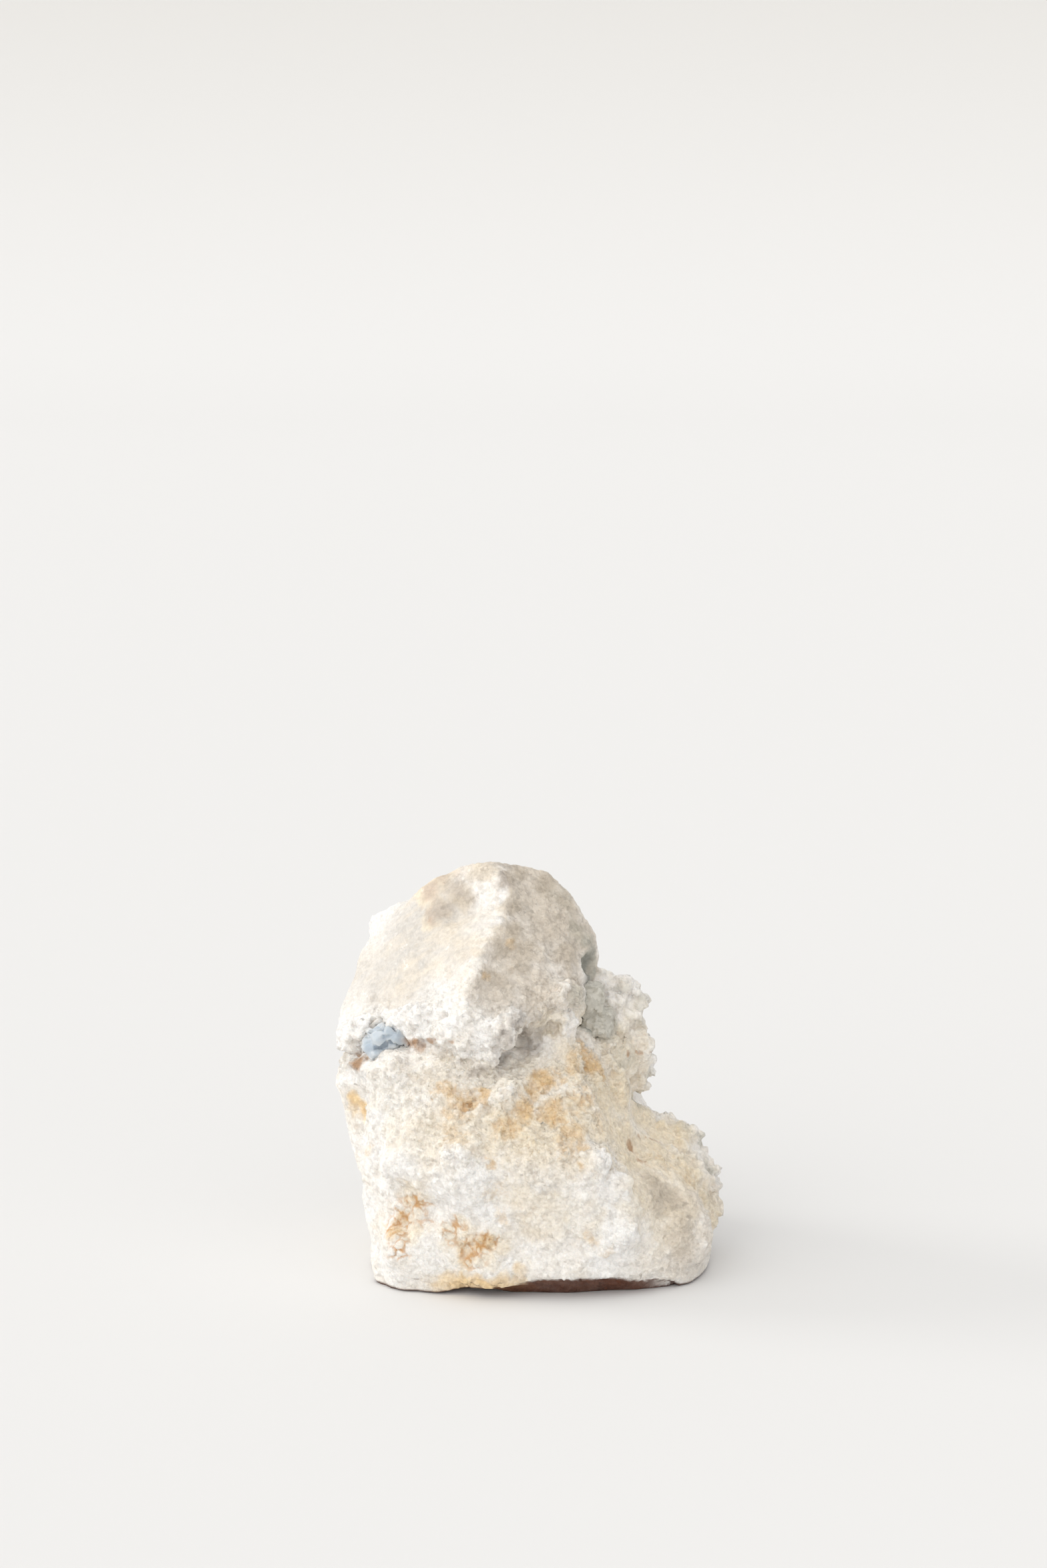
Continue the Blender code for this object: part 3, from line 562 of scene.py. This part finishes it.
def stoneMaterial(values):
    # granular fluorite, broken by hammer: a mass of clear grains that together look white,
    # so light soaks in a little, and each grain's flat break gives its own small glint
    material, tree, shader = newMaterial("granularFluorite")
    coords = addNode(tree, "ShaderNodeTexCoord")
    objectPoint = (coords, "Object")

    # patches of white and warm white
    patches = addNode(tree, "ShaderNodeTexNoise",
                      {"Scale": perMetre(values["patch"]), "Detail": 5.0, "Roughness": 0.6},
                      {"Vector": objectPoint})
    grains = addNode(tree, "ShaderNodeTexVoronoi", {"Scale": perMetre(values["grain"])},
                     {"Vector": objectPoint})
    fineGrains = addNode(tree, "ShaderNodeTexVoronoi", {"Scale": perMetre(values["fineGrain"])},
                         {"Vector": objectPoint})
    start, full = values["warmFrom"]
    warm = addNode(tree, "ShaderNodeMapRange", {"From Min": start, "From Max": full},
                   {"Value": (patches, "Fac")})
    colour = addNode(tree, "ShaderNodeMix", {"data_type": "RGBA", 6: linearColour(values["white"]),
                                             7: linearColour(values["warmWhite"])}, {0: (warm, "Result")})

    # faint growth streaks run down the smooth face, from its upper right to its lower left
    along = addNode(tree, "ShaderNodeMapping", {
        "vector_type": "TEXTURE", "Rotation": (0, math.radians(-values["streakTurn"]), 0),
        "Scale": (values["streakLength"], values["streakWidth"] * 2, values["streakWidth"])},
        {"Vector": objectPoint})
    streaks = addNode(tree, "ShaderNodeTexNoise", {"Scale": perMetre(1), "Detail": 3.0, "Roughness": 0.6},
                      {"Vector": (along, "Vector")})
    smoothHere = addNode(tree, "ShaderNodeAttribute", {"attribute_name": "smooth"})
    colour = addNode(tree, "ShaderNodeMix", {"data_type": "RGBA", 7: linearColour(values["wash"])},
                     {0: (smoothHere, "Fac"), 6: (colour, 2)})
    start, full = values["streakFrom"]
    streakEdge = addNode(tree, "ShaderNodeMapRange",
                         {"From Min": start, "From Max": full, "To Max": values["streakStrength"]},
                         {"Value": (streaks, "Fac")})
    streakHere = addNode(tree, "ShaderNodeMath", {"operation": "MULTIPLY"},
                         {0: (streakEdge, "Result"), 1: (smoothHere, "Fac")})
    colour = addNode(tree, "ShaderNodeMix", {"data_type": "RGBA", 7: linearColour(values["streak"])},
                     {0: (streakHere, 0), 6: (colour, 2)})

    for name, (stainAndShadeColour, size, broken, strength) in stainAndShadeLooks.items():
        # clouds of each mark's own size eat into its mask, most at its edge, and none shows off the mask;
        # this holds for the stains and for the painted light and shade
        mask = addNode(tree, "ShaderNodeAttribute", {"attribute_name": name})
        clouds = addNode(tree, "ShaderNodeTexNoise",
                         {"Scale": perMetre(size), "Detail": 5.0, "Roughness": 0.62}, {"Vector": objectPoint})
        eaten = addNode(tree, "ShaderNodeMath", {"operation": "MULTIPLY_ADD", 1: 2 * broken},
                        {0: (clouds, "Fac"), 2: (mask, "Fac")})
        cover = addNode(tree, "ShaderNodeMapRange",
                        {"From Min": 0.1 + broken, "From Max": 1.05 + broken, "To Max": strength},
                        {"Value": (eaten, 0)})
        present = addNode(tree, "ShaderNodeMath", {"operation": "MULTIPLY", "use_clamp": True, 1: 3.0},
                          {0: (mask, "Fac")})
        held = addNode(tree, "ShaderNodeMath", {"operation": "MULTIPLY", "use_clamp": True},
                       {0: (cover, "Result"), 1: (present, 0)})
        colour = addNode(tree, "ShaderNodeMix", {"data_type": "RGBA", 7: linearColour(stainAndShadeColour)},
                         {0: (held, 0), 6: (colour, 2)})

    # each grain is a little lighter or darker than the next
    grainTone = addNode(tree, "ShaderNodeSeparateColor", {}, {"Color": (grains, "Color")})
    dark, light = values["grainTones"]
    tone = addNode(tree, "ShaderNodeMapRange", {"To Min": dark, "To Max": light},
                   {"Value": (grainTone, "Red")})
    shade = addNode(tree, "ShaderNodeMix", {"data_type": "RGBA", "blend_type": "MULTIPLY", 0: 1.0},
                    {6: (colour, 2), 7: (tone, "Result")})
    # and the seams between the smallest ones are a little darker
    seams = addNode(tree, "ShaderNodeTexNoise",
                    {"Scale": perMetre(values["seam"]), "Detail": 4.0, "Roughness": 0.7},
                    {"Vector": objectPoint})
    start, full = values["seamFrom"]
    dark, light = values["seamTones"]
    seamTone = addNode(tree, "ShaderNodeMapRange",
                       {"From Min": start, "From Max": full, "To Min": dark, "To Max": light},
                       {"Value": (seams, "Fac")})
    shade = addNode(tree, "ShaderNodeMix", {"data_type": "RGBA", "blend_type": "MULTIPLY", 0: 1.0},
                    {6: (shade, 2), 7: (seamTone, "Result")})
    tree.links.new(shade.outputs[2], shader.inputs["Base Color"])

    # flat breaks: a grain's height is a tilted plane through its middle
    tilts = []
    for cell in (grains, fineGrains):
        away = addNode(tree, "ShaderNodeVectorMath", {"operation": "SUBTRACT"},
                       {0: objectPoint, 1: (cell, "Position")})
        turn = addNode(tree, "ShaderNodeVectorMath", {"operation": "SUBTRACT", 1: (0.5, 0.5, 0.5)},
                       {0: (cell, "Color")})
        tilts.append(addNode(tree, "ShaderNodeVectorMath", {"operation": "DOT_PRODUCT"},
                             {0: (away, "Vector"), 1: (turn, "Vector")}))
    both = addNode(tree, "ShaderNodeMath", {"operation": "ADD"},
                   {0: (tilts[0], "Value"), 1: (tilts[1], "Value")})
    roughHere = addNode(tree, "ShaderNodeAttribute", {"attribute_name": "rough"})
    low, high = values["bumps"]
    bumpStrength = addNode(tree, "ShaderNodeMapRange", {"To Min": low, "To Max": high},
                           {"Value": (roughHere, "Fac")})
    bump = addNode(tree, "ShaderNodeBump", {"Distance": 1.0},
                   {"Height": (both, 0), "Strength": (bumpStrength, "Result")})
    tree.links.new(bump.outputs["Normal"], shader.inputs["Normal"])

    # a few grains break glassy, and the foot under the painted shade is dull
    start, full = values["glassyFrom"]
    gloss = addNode(tree, "ShaderNodeMapRange",
                    {"From Min": start, "From Max": full, "To Min": values["roughness"],
                     "To Max": values["glassyRoughness"]}, {"Value": (grainTone, "Green")})
    dullHere = addNode(tree, "ShaderNodeAttribute", {"attribute_name": "under"})
    dull = addNode(tree, "ShaderNodeMath", {"operation": "MAXIMUM"},
                   {0: (gloss, "Result"), 1: (dullHere, "Fac")})
    tree.links.new(dull.outputs[0], shader.inputs["Roughness"])
    shader.inputs["IOR"].default_value = values["refraction"]
    shader.inputs["Subsurface Weight"].default_value = values["soak"]
    shader.inputs["Subsurface Radius"].default_value = values["soakColours"]
    shader.inputs["Subsurface Scale"].default_value = values["soakDepth"] * mm
    return material


granularFluorite = stoneMaterial(stoneLook)


# the hollow under the front edge, in mm: where that edge runs, its height over the floor and how far back
# the slope behind it meets the floor; each pair or four of ends says where it fades in and out along x
underside = {
    # where the painted shade under the foot lies: below which height, in front of which y and fading over how
    # far
    "shadeBelow": 5.0,
    "shadeAndBandFront": -2.0,
    "shadeAndBandFade": 6.0,
    "contact": (0.2, 0.9),
    "edgeX": (-10, 0, 7, 13, 19, 25, 30),
    "edgeY": (-27, -27.3, -27.7, -26.5, -25, -22, -17),
    "heightX": (-12, -4, 2, 14, 20, 27),
    "heights": (0.6, 2.5, 4.2, 4.2, 3, 2.2),
    "depths": (3.8, 3.8, 3.8, 3.8, 2.6, 1.2),
    "formEnds": (-12, -3, 27, 31),
    "shadeEnds": (-12, -3, 20, 28),
    "below": 6.0,
    "frontOf": -6.0,
    "least": 0.05,
}

# how the masks are made: sizes, distances and edges in mm
masks = {
    "wander": ((5, 1.8), (1.6, 0.9)),
    "shadeEdge": (-0.6, 0.6),
    "paintedRightShadeEdge": (-0.3, 0.4),
    "lineEdge": (0.1, 0.5),
    "bandTop": (2, 6.5),
    "bandStart": (-22, -13),
    "bandEnd": (-3, 4),
}


def undercutPart(points, ends):
    # 1 along the undercut, 0 beyond its two ends
    start, full, fading, end = ends
    return edgeStep((start, full), points[:, 0]) * (1 - edgeStep((fading, end), points[:, 0]))


def undersideStain(points, normals, values):
    # painted shade, dark brown, where the foot faces down, where it touches the floor and on the slope behind
    # the front edge
    low = 1 - smoothStep(0.6, 1.0, points[:, 2] / (values["shadeBelow"] * mm))
    down = smoothStep(0.55, 0.85, -normals[:, 2])
    contact = 1 - edgeStep(values["contact"], points[:, 2])
    edge = np.interp(points[:, 0] / mm, values["edgeX"], values["edgeY"])
    height = np.interp(points[:, 0] / mm, values["heightX"], values["heights"])
    slope = smoothStep(0, 0.8, points[:, 1] / mm - edge)
    slope *= 1 - smoothStep(0.3, 0.9, points[:, 2] / mm - height)
    slope *= undercutPart(points, values["shadeEnds"])
    return np.maximum(np.maximum(low * down, contact), slope)


def paintRegions(obj):
    # one mask for each stain, for each painted light and shade, and for each region, read by the stone's
    # material
    points = pointsOf(obj.data)
    ragged = points
    for size, distance in masks["wander"]:
        ragged = wandered(ragged, size, distance)
    layers = {name: closeness(ragged, spots) for name, spots in stainsAndShades.items()}
    crestX = np.interp(points[:, 2], np.array(crestLine["heights"]) * mm, np.array(crestLine["x"]) * mm)
    # both kinds of painted shade lie only right of the crest, on the faces turned from the window
    layers["shade"] *= edgeStep(masks["shadeEdge"], ragged[:, 0] - crestX)
    layers["paintedRightShade"] *= edgeStep(masks["paintedRightShadeEdge"], ragged[:, 0] - crestX)
    layers["smooth"] = closeness(points, regions["smooth"])
    layers["rough"] = np.clip(0.75 + 0.5 * closeness(points, regions["sugary"]) - layers["smooth"], 0, 1)
    layers["cellLine"] = closeness(ragged, regions["honeycomb"])
    layers["cellLine"] *= 1 - edgeStep(masks["lineEdge"], combGap(points))
    # the painted shade under the foot and the orange band fade out towards the back
    front = smoothStep(0, underside["shadeAndBandFade"], underside["shadeAndBandFront"] - points[:, 1] / mm)
    layers["under"] = undersideStain(points, normalsOf(obj.data), underside) * front
    # an orange band runs along the foot of the left half
    place = ragged / mm
    band = (1 - smoothStep(*masks["bandTop"], place[:, 2])) * smoothStep(*masks["bandStart"], place[:, 0])
    band = band * (1 - smoothStep(*masks["bandEnd"], place[:, 0]))
    layers["orange"] = np.maximum(layers["orange"], band * front)
    for name, values in layers.items():
        setMask(obj.data, name, values)


# The stone: the solid's own form with its facets worn soft, small crystals fused on, then grains raised

# sizes, heights and depths in mm
stoneShape = {
    "firstVoxel": 0.6,
    "softPasses": 7,
    "lumps": ((6, 0.6), (2.2, 0.28)),
    "voxel": 0.42,
    "lastPasses": 1,
    "foot": (0.2, 1.6),
    "domeSize": 2.0,
    "domeHeight": 0.26,
    "domeWander": (3, 0.8),
    "grainSize": 1.15,
    "grainTilt": 0.9,
    "blockSize": 3.0,
    "blockTilt": 0.6,
    "combSize": 1.9,
    "combWander": (2, 0.5),
    "combDepth": 0.5,
    "combWidth": 0.8,
    "thinFrom": (-2, 14),
    "thinBelow": 0.15,
    "faces": 190000,
}

# the seed of each pattern of cells
cellSeeds = {"dome": 2, "grain": 3, "block": 5, "comb": 8, "facet": 12}

# where the form is pressed in (or pulled out, if less than 0): x, y, z, radius, depth in mm
pressed = (
    (0, -19, 48.6, 5, 2.2), (3, -15, 50.4, 4, 0.4), (-1, -13, 44, 4, 0.8), (-4, -18, 43.4, 3, 1),
    (11, -1.2, 55.6, 3, 1.4), (10.5, -8, 53, 4, 1.4), (10, -4, 57, 4, 0.8), (10.8, -5, 44.4, 3.6, -1.4),
    (-28, -14, 46, 4, -0.8), (-32, -5, 43.2, 4.4, -2.2), (-11.5, -16.5, 43, 3.4, -1.2),
    (-5, -21, 44.5, 3, 1.2), (-25, -11.4, 48, 3.4, -1.6), (-21, -12.8, 46.4, 3.6, -2.2),
    (-31, -6, 44.4, 4, -1.2), (-31.5, -8, 38.4, 3.2, 2.2), (10.8, -3.6, 45, 4.4, -1.3),
    (12.7, -27.8, 26.2, 3.4, -1), (-4, -22, 47, 3, 0.5), (-11.5, -26.5, 23, 7, -2.2),
    (-18, -25, 22, 6, -1.6), (-10, -27, 13, 5, -1.2), (-16, -26, 9, 6, -0.8), (17, -27, 12, 5, -0.8),
    (4, -27, 26, 4, -0.8),
)

# small crystals by region: how many, their sizes in mm, and how worn their edges are
bareFoot = (5, 8)
brokenBlock = (0.9, 0.8, 1.15)
crystalGrowth = {
    "lipGrains": {"region": "lip", "perSquareMm": 0.3, "sizes": (1.0, 2.3), "seed": 4, "rounding": 0.1},
    "sugarGrains": {"region": "sugary", "perSquareMm": 0.36, "sizes": (0.8, 1.6), "seed": 6, "rounding": 0.1},
    "blockGrains": {"region": "blocky", "perSquareMm": 0.14, "sizes": (1.2, 2.8), "seed": 9, "rounding": 0.1},
    "hollowGrains": {"region": "hollow", "perSquareMm": 0.3, "sizes": (1.4, 3.0), "seed": 11,
                     "rounding": 0.12},
    "wallGrains": {"region": "wall", "perSquareMm": 0.16, "sizes": (0.8, 1.5), "seed": 15, "rounding": 0.1},
}


def makeTexture(name, kind, size):
    texture = bpy.data.textures.new(name, kind)
    texture.noise_scale = size * mm
    return texture


def nearestCells(points, size, seed):
    # for each point: the middle of the jittered cell it is in, a random direction for that cell,
    # how far off that middle is, and how much farther the next one is
    repeat = 64
    table = np.random.default_rng(seed).random((repeat, repeat, repeat, 6))
    grid = points / (size * mm)
    base = np.floor(grid).astype(int)
    nearest = np.full(len(points), np.inf)
    second = np.full(len(points), np.inf)
    middle = np.zeros_like(points)
    turn = np.zeros_like(points)
    for dx in (-1, 0, 1):
        for dy in (-1, 0, 1):
            for dz in (-1, 0, 1):
                cell = base + (dx, dy, dz)
                values = table[tuple(cell.T % repeat)]
                spot = cell + values[:, :3]
                away = np.linalg.norm(grid - spot, axis=1)
                closer = away < nearest
                second = np.where(closer, nearest, np.minimum(second, away))
                nearest = np.where(closer, away, nearest)
                middle[closer] = spot[closer] * size * mm
                turn[closer] = values[closer, 3:] - 0.5
    return middle, turn, nearest, (second - nearest) * size * mm


def tiltedCells(points, size, seed):
    # each cell's surface is a plane through its middle, tilted its own way
    middle, turn, _, _ = nearestCells(points, size, seed)
    return np.einsum("ij,ij->i", points - middle, turn)


def combGap(points):
    # how far each point is from the lines between the honeycomb's cells
    points = wandered(points, *stoneShape["combWander"])
    return nearestCells(points, stoneShape["combSize"], cellSeeds["comb"])[3]


def crystalSeed(name, rounding):
    # a broken block with worn edges, taller than it is wide
    deselectAll()
    bpy.ops.mesh.primitive_cube_add(size=1)
    seed = bpy.context.object
    seed.name = name + "Seed"
    bpy.ops.object.mode_set(mode="EDIT")
    bpy.ops.mesh.select_all(action="SELECT")
    bpy.ops.transform.resize(value=brokenBlock)
    bpy.ops.mesh.bevel(offset=rounding, segments=1)
    bpy.ops.object.mode_set(mode="OBJECT")
    return seed


def growthNodes(seed, values):
    # crystals stand on the faces where the growth mask is, each turned and sized its own way
    tree = bpy.data.node_groups.new(seed.name + "Growth", "GeometryNodeTree")
    tree.interface.new_socket("Geometry", in_out="INPUT", socket_type="NodeSocketGeometry")
    tree.interface.new_socket("Geometry", in_out="OUTPUT", socket_type="NodeSocketGeometry")
    ground = addNode(tree, "NodeGroupInput")
    small, large = (size * mm for size in values["sizes"])
    weight = addNode(tree, "GeometryNodeInputNamedAttribute", {"data_type": "FLOAT", "Name": "growth"})
    density = addNode(tree, "ShaderNodeMath", {"operation": "MULTIPLY", 1: values["perSquareMm"] / mm / mm},
                      {0: (weight, "Attribute")})
    spread = addNode(tree, "GeometryNodeDistributePointsOnFaces", {"Seed": values["seed"]},
                     {"Mesh": (ground, 0), "Density": (density, 0)})
    shape = addNode(tree, "GeometryNodeObjectInfo", {"Object": seed})
    turn = addNode(tree, "FunctionNodeRandomValue", {"data_type": "FLOAT_VECTOR", "Seed": values["seed"] + 1})
    turn.inputs["Max"].default_value = (math.tau, math.tau, math.tau)
    size = addNode(tree, "FunctionNodeRandomValue", {"data_type": "FLOAT_VECTOR", "Seed": values["seed"] + 2})
    size.inputs["Min"].default_value = (small, small, small)
    size.inputs["Max"].default_value = (large, large, large)
    grown = addNode(tree, "GeometryNodeInstanceOnPoints", {}, {
        "Points": (spread, "Points"), "Instance": (shape, "Geometry"), "Rotation": (turn, "Value"),
        "Scale": (size, "Value")})
    real = addNode(tree, "GeometryNodeRealizeInstances", {}, {"Geometry": (grown, 0)})
    result = addNode(tree, "NodeGroupOutput")
    tree.links.new(real.outputs[0], result.inputs[0])
    return tree


def growCrystals(stone, name, values):
    seed = crystalSeed(name, values["rounding"])
    crystals = bpy.data.objects.new(name, stone.data.copy())
    bpy.context.scene.collection.objects.link(crystals)
    points = pointsOf(crystals.data)
    weight = closeness(points, regions[values["region"]]) * edgeStep(bareFoot, points[:, 2])
    setMask(crystals.data, "growth", weight)
    growth = crystals.modifiers.new("growth", "NODES")
    growth.node_group = growthNodes(seed, values)
    applyAll(crystals)
    bpy.data.objects.remove(seed)
    return crystals


def joinInto(obj, others):
    makeActive(obj)
    for other in others:
        other.select_set(True)
    bpy.ops.object.join()


def addRemesh(obj, voxel, passes):
    remesh = obj.modifiers.new("fuse", "REMESH")
    remesh.mode = "VOXEL"
    remesh.voxel_size = voxel * mm
    soften = obj.modifiers.new("soften", "SMOOTH")
    soften.factor = 0.5
    soften.iterations = passes


def raiseGrains(obj, values):
    # everything stands less on the smooth face and nothing where the stone meets the floor
    mesh = obj.data
    points, normals = pointsOf(mesh), normalsOf(mesh)
    sugary = closeness(points, regions["sugary"])
    blocky = closeness(points, regions["blocky"])
    smoothPart = closeness(points, regions["smooth"])
    standing = edgeStep(values["foot"], points[:, 2])
    # rounded sugary lumps with creases between them
    moved = wandered(points, *values["domeWander"])
    _, _, near, _ = nearestCells(moved, values["domeSize"], cellSeeds["dome"])
    height = values["domeHeight"] * mm * (0.5 - near) * 1.6 * (0.3 + 0.7 * sugary) * (1 - smoothPart)
    # tilted grains
    tilt = tiltedCells(points, values["grainSize"], cellSeeds["grain"])
    height += tilt * values["grainTilt"] * (0.4 + 0.6 * sugary) * (1 - 0.8 * smoothPart)
    # flat sided blocks
    tilt = tiltedCells(points, values["blockSize"], cellSeeds["block"])
    height += tilt * values["blockTilt"] * np.maximum(blocky, 0.3 * sugary)
    # honeycomb grooves
    comb = closeness(points, regions["honeycomb"]) * values["combDepth"] * mm
    height -= comb * (1 - smoothStep(0.0, values["combWidth"] * mm, combGap(points)))
    setPoints(mesh, points + normals * (height * standing)[:, None])


def keepInBox(obj, low, high):
    setPoints(obj.data, np.clip(pointsOf(obj.data), np.array(low), np.array(high)))


def thinUnseen(obj, values):
    # the front keeps its fine mesh, the back and the underside give theirs up
    points = pointsOf(obj.data)
    onFloor = points[:, 2] < values["thinBelow"] * mm
    unseen = np.clip(edgeStep(values["thinFrom"], points[:, 1]) + onFloor, 0, 1)
    group = obj.vertex_groups.new(name="thinned")
    for index in np.nonzero(unseen)[0]:
        group.add([int(index)], float(unseen[index]), "REPLACE")
    thin = obj.modifiers.new("thin", "DECIMATE")
    thin.ratio = values["faces"] / triangleCount(obj)
    thin.vertex_group = "thinned"
    thin.use_collapse_triangulate = True
    applyAll(obj)


def crestRaise(points, values):
    # a narrow ridge follows the crest, from its foot to the top
    heights = np.linspace(values["heights"][1], values["heights"][-2], values["steps"])
    line = [np.interp(heights, values["heights"], values[axis]) for axis in ("x", "y")]
    line = np.stack(line + [heights], 1) * mm
    away = np.full(len(points), 1.0)
    for spot in line:
        away = np.minimum(away, np.linalg.norm(points - spot, axis=1))
    return values["raise"] * mm * np.clip(1 - away / (values["width"] * mm), 0, 1)


def pressSpots(obj):
    # the crest stands out, and each spot of the form is pressed in or pulled out
    points, normals = pointsOf(obj.data), normalsOf(obj.data)
    depth = -crestRaise(points, crestLine)
    for x, y, z, radius, deep in pressed:
        depth += deep * mm * closeness(points, ((x, y, z, radius, 1),))
    setPoints(obj.data, points - normals * depth[:, None])


def slopeUnderside(obj, values):
    # behind the raised front edge the underside slopes down to the floor
    points, normals = pointsOf(obj.data), normalsOf(obj.data)
    edge = np.interp(points[:, 0] / mm, values["edgeX"], values["edgeY"])
    behind = (points[:, 1] / mm - edge) / np.interp(points[:, 0] / mm, values["heightX"], values["depths"])
    height = np.interp(points[:, 0] / mm, values["heightX"], values["heights"])
    target = np.clip(height * (1 - behind), values["least"], None) * mm
    inside = (normals[:, 2] < 0.1) & (points[:, 2] < values["below"] * mm)
    inside &= (behind > 0) & (points[:, 1] < values["frontOf"] * mm)
    lowered = inside * undercutPart(points, values["formEnds"]) * np.clip(points[:, 2] - target, 0, None)
    points[:, 2] -= lowered
    setPoints(obj.data, points)


def makeStone(values):
    stone = copyNode("matrix", "sugaryStone")
    addRemesh(stone, values["firstVoxel"], values["softPasses"])
    for size, height in values["lumps"]:
        lump = stone.modifiers.new("lump", "DISPLACE")
        lump.texture = makeTexture("lump", "CLOUDS", size)
        lump.texture_coords = "LOCAL"
        lump.mid_level = 0.5
        lump.strength = height * mm
    applyAll(stone)
    pressSpots(stone)
    joinInto(stone, [growCrystals(stone, name, growth) for name, growth in crystalGrowth.items()])
    addRemesh(stone, values["voxel"], values["lastPasses"])
    applyAll(stone)
    slopeUnderside(stone, underside)
    raiseGrains(stone, values)
    keepInBox(stone, cadBox[0], cadBox[1])
    print("stage: stone has", triangleCount(stone), "triangles before thinning")
    if triangleCount(stone) > values["faces"]:
        thinUnseen(stone, values)
    stone.data.shade_smooth()
    paintRegions(stone)
    stone.data.materials.clear()
    stone.data.materials.append(granularFluorite)
    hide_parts("matrix")
    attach(stone, "root")
    print("stage: stone has", triangleCount(stone), "triangles")


makeStone(stoneShape)


# Pale blue crystals in the cleft; sizes and depths in mm

blueLook = {
    "colour": "#D6DFE7",
    "deep": "#BFCCD8",
    "white": "#ECE6DD",
    "brown": "#B39A86",
    "voxel": 0.25,
    "fuller": 0.3,
    "forward": (-0.1, -1.5, 0),
    "facetSize": 1.9,
    "facetTilt": 0.7,
    "blueSpots": ((-26.8, -12.6, 45.6, 6, 1), (-25, -12.4, 46, 6, 1), (-28.1, -12, 43.6, 6, 1)),
    "zone": 2.2,
    "zoneFrom": (0.4, 0.62),
    "growthLine": 0.35,
    "growthBump": 0.2,
    "growthDepth": 0.06,
    "roughness": 0.3,
    "refraction": 1.434,
    "clear": 0.15,
    "soak": 0.6,
    "soakDepth": 2.0,
    "soakColours": (0.8, 0.9, 1.0),
}


def blueMaterial(values):
    # pale blue fluorite as grown: smooth glossy faces, and milky zones inside that let little light through
    material, tree, shader = newMaterial("paleBlueFluorite")
    coords = addNode(tree, "ShaderNodeTexCoord")
    zones = addNode(tree, "ShaderNodeTexNoise", {"Scale": perMetre(values["zone"]), "Detail": 3.0},
                    {"Vector": (coords, "Object")})
    start, full = values["zoneFrom"]
    spread = addNode(tree, "ShaderNodeMapRange", {"From Min": start, "From Max": full},
                     {"Value": (zones, "Fac")})
    colour = addNode(tree, "ShaderNodeMix", {"data_type": "RGBA", 6: linearColour(values["colour"]),
                                             7: linearColour(values["deep"])}, {0: (spread, "Result")})
    blueHere = addNode(tree, "ShaderNodeAttribute", {"attribute_name": "blue"})
    colour = addNode(tree, "ShaderNodeMix", {"data_type": "RGBA", 6: linearColour(values["white"])},
                     {0: (blueHere, "Fac"), 7: (colour, 2)})
    stained = addNode(tree, "ShaderNodeAttribute", {"attribute_name": "brown"})
    colour = addNode(tree, "ShaderNodeMix", {"data_type": "RGBA", 7: linearColour(values["brown"])},
                     {0: (stained, "Fac"), 6: (colour, 2)})
    tree.links.new(colour.outputs[2], shader.inputs["Base Color"])
    growth = addNode(tree, "ShaderNodeTexNoise", {"Scale": perMetre(values["growthLine"]), "Detail": 2.0},
                     {"Vector": (coords, "Object")})
    bump = addNode(tree, "ShaderNodeBump",
                   {"Strength": values["growthBump"], "Distance": values["growthDepth"] * mm},
                   {"Height": (growth, "Fac")})
    tree.links.new(bump.outputs["Normal"], shader.inputs["Normal"])
    shader.inputs["Roughness"].default_value = values["roughness"]
    shader.inputs["IOR"].default_value = values["refraction"]
    shader.inputs["Transmission Weight"].default_value = values["clear"]
    shader.inputs["Subsurface Weight"].default_value = values["soak"]
    shader.inputs["Subsurface Radius"].default_value = values["soakColours"]
    shader.inputs["Subsurface Scale"].default_value = values["soakDepth"] * mm
    return material


def dressCrust(nodeName, newName, material, values):
    # the crust is made fuller and its crystals are grown together, so that it meets the stone all round
    crust = copyNode(nodeName, newName)
    forward = np.array(values["forward"]) * mm
    fuller = normalsOf(crust.data) * values["fuller"] * mm
    setPoints(crust.data, pointsOf(crust.data) + fuller + forward)
    addRemesh(crust, values["voxel"], 1)
    applyAll(crust)
    points, normals = pointsOf(crust.data), normalsOf(crust.data)
    height = tiltedCells(points, values["facetSize"], cellSeeds["facet"]) * values["facetTilt"]
    setPoints(crust.data, points + normals * height[:, None])
    crust.data.shade_smooth()
    paintRegions(crust)
    setMask(crust.data, "blue", closeness(pointsOf(crust.data), blueLook["blueSpots"]))
    crust.data.materials.clear()
    crust.data.materials.append(material)
    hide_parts(nodeName)
    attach(crust, "root")


dressCrust("pocket_crystals", "blueCrystals", blueMaterial(blueLook), blueLook)


# Grey-green crust in the shaded recess; sizes and depths in mm

crustLook = {
    "colour": "#CFCCC2",
    "dark": "#B6B3A9",
    "voxel": 0.25,
    "fuller": 0.8,
    "forward": (-0.5, -0.9, -0.5),
    "facetSize": 1.1,
    "facetTilt": 0.6,
    "grain": 0.7,
    "grainBump": 0.5,
    "grainDepth": 0.2,
    "roughness": 0.5,
    "refraction": 1.54,
}


def crustMaterial(values):
    # fine chlorite-stained quartz druse: small flat faces, grey-green, half dull
    material, tree, shader = newMaterial("greyGreenDruse")
    coords = addNode(tree, "ShaderNodeTexCoord")
    grains = addNode(tree, "ShaderNodeTexVoronoi", {"Scale": perMetre(values["grain"])},
                     {"Vector": (coords, "Object")})
    tone = addNode(tree, "ShaderNodeSeparateColor", {}, {"Color": (grains, "Color")})
    colour = addNode(tree, "ShaderNodeMix", {"data_type": "RGBA", 6: linearColour(values["colour"]),
                                             7: linearColour(values["dark"])}, {0: (tone, "Red")})
    tree.links.new(colour.outputs[2], shader.inputs["Base Color"])
    bump = addNode(tree, "ShaderNodeBump",
                   {"Strength": values["grainBump"], "Distance": values["grainDepth"] * mm},
                   {"Height": (grains, "Distance")})
    tree.links.new(bump.outputs["Normal"], shader.inputs["Normal"])
    shader.inputs["Roughness"].default_value = values["roughness"]
    shader.inputs["IOR"].default_value = values["refraction"]
    return material


dressCrust("recess_crust", "recessCrust", crustMaterial(crustLook), crustLook)
print("stage: crusts ready")
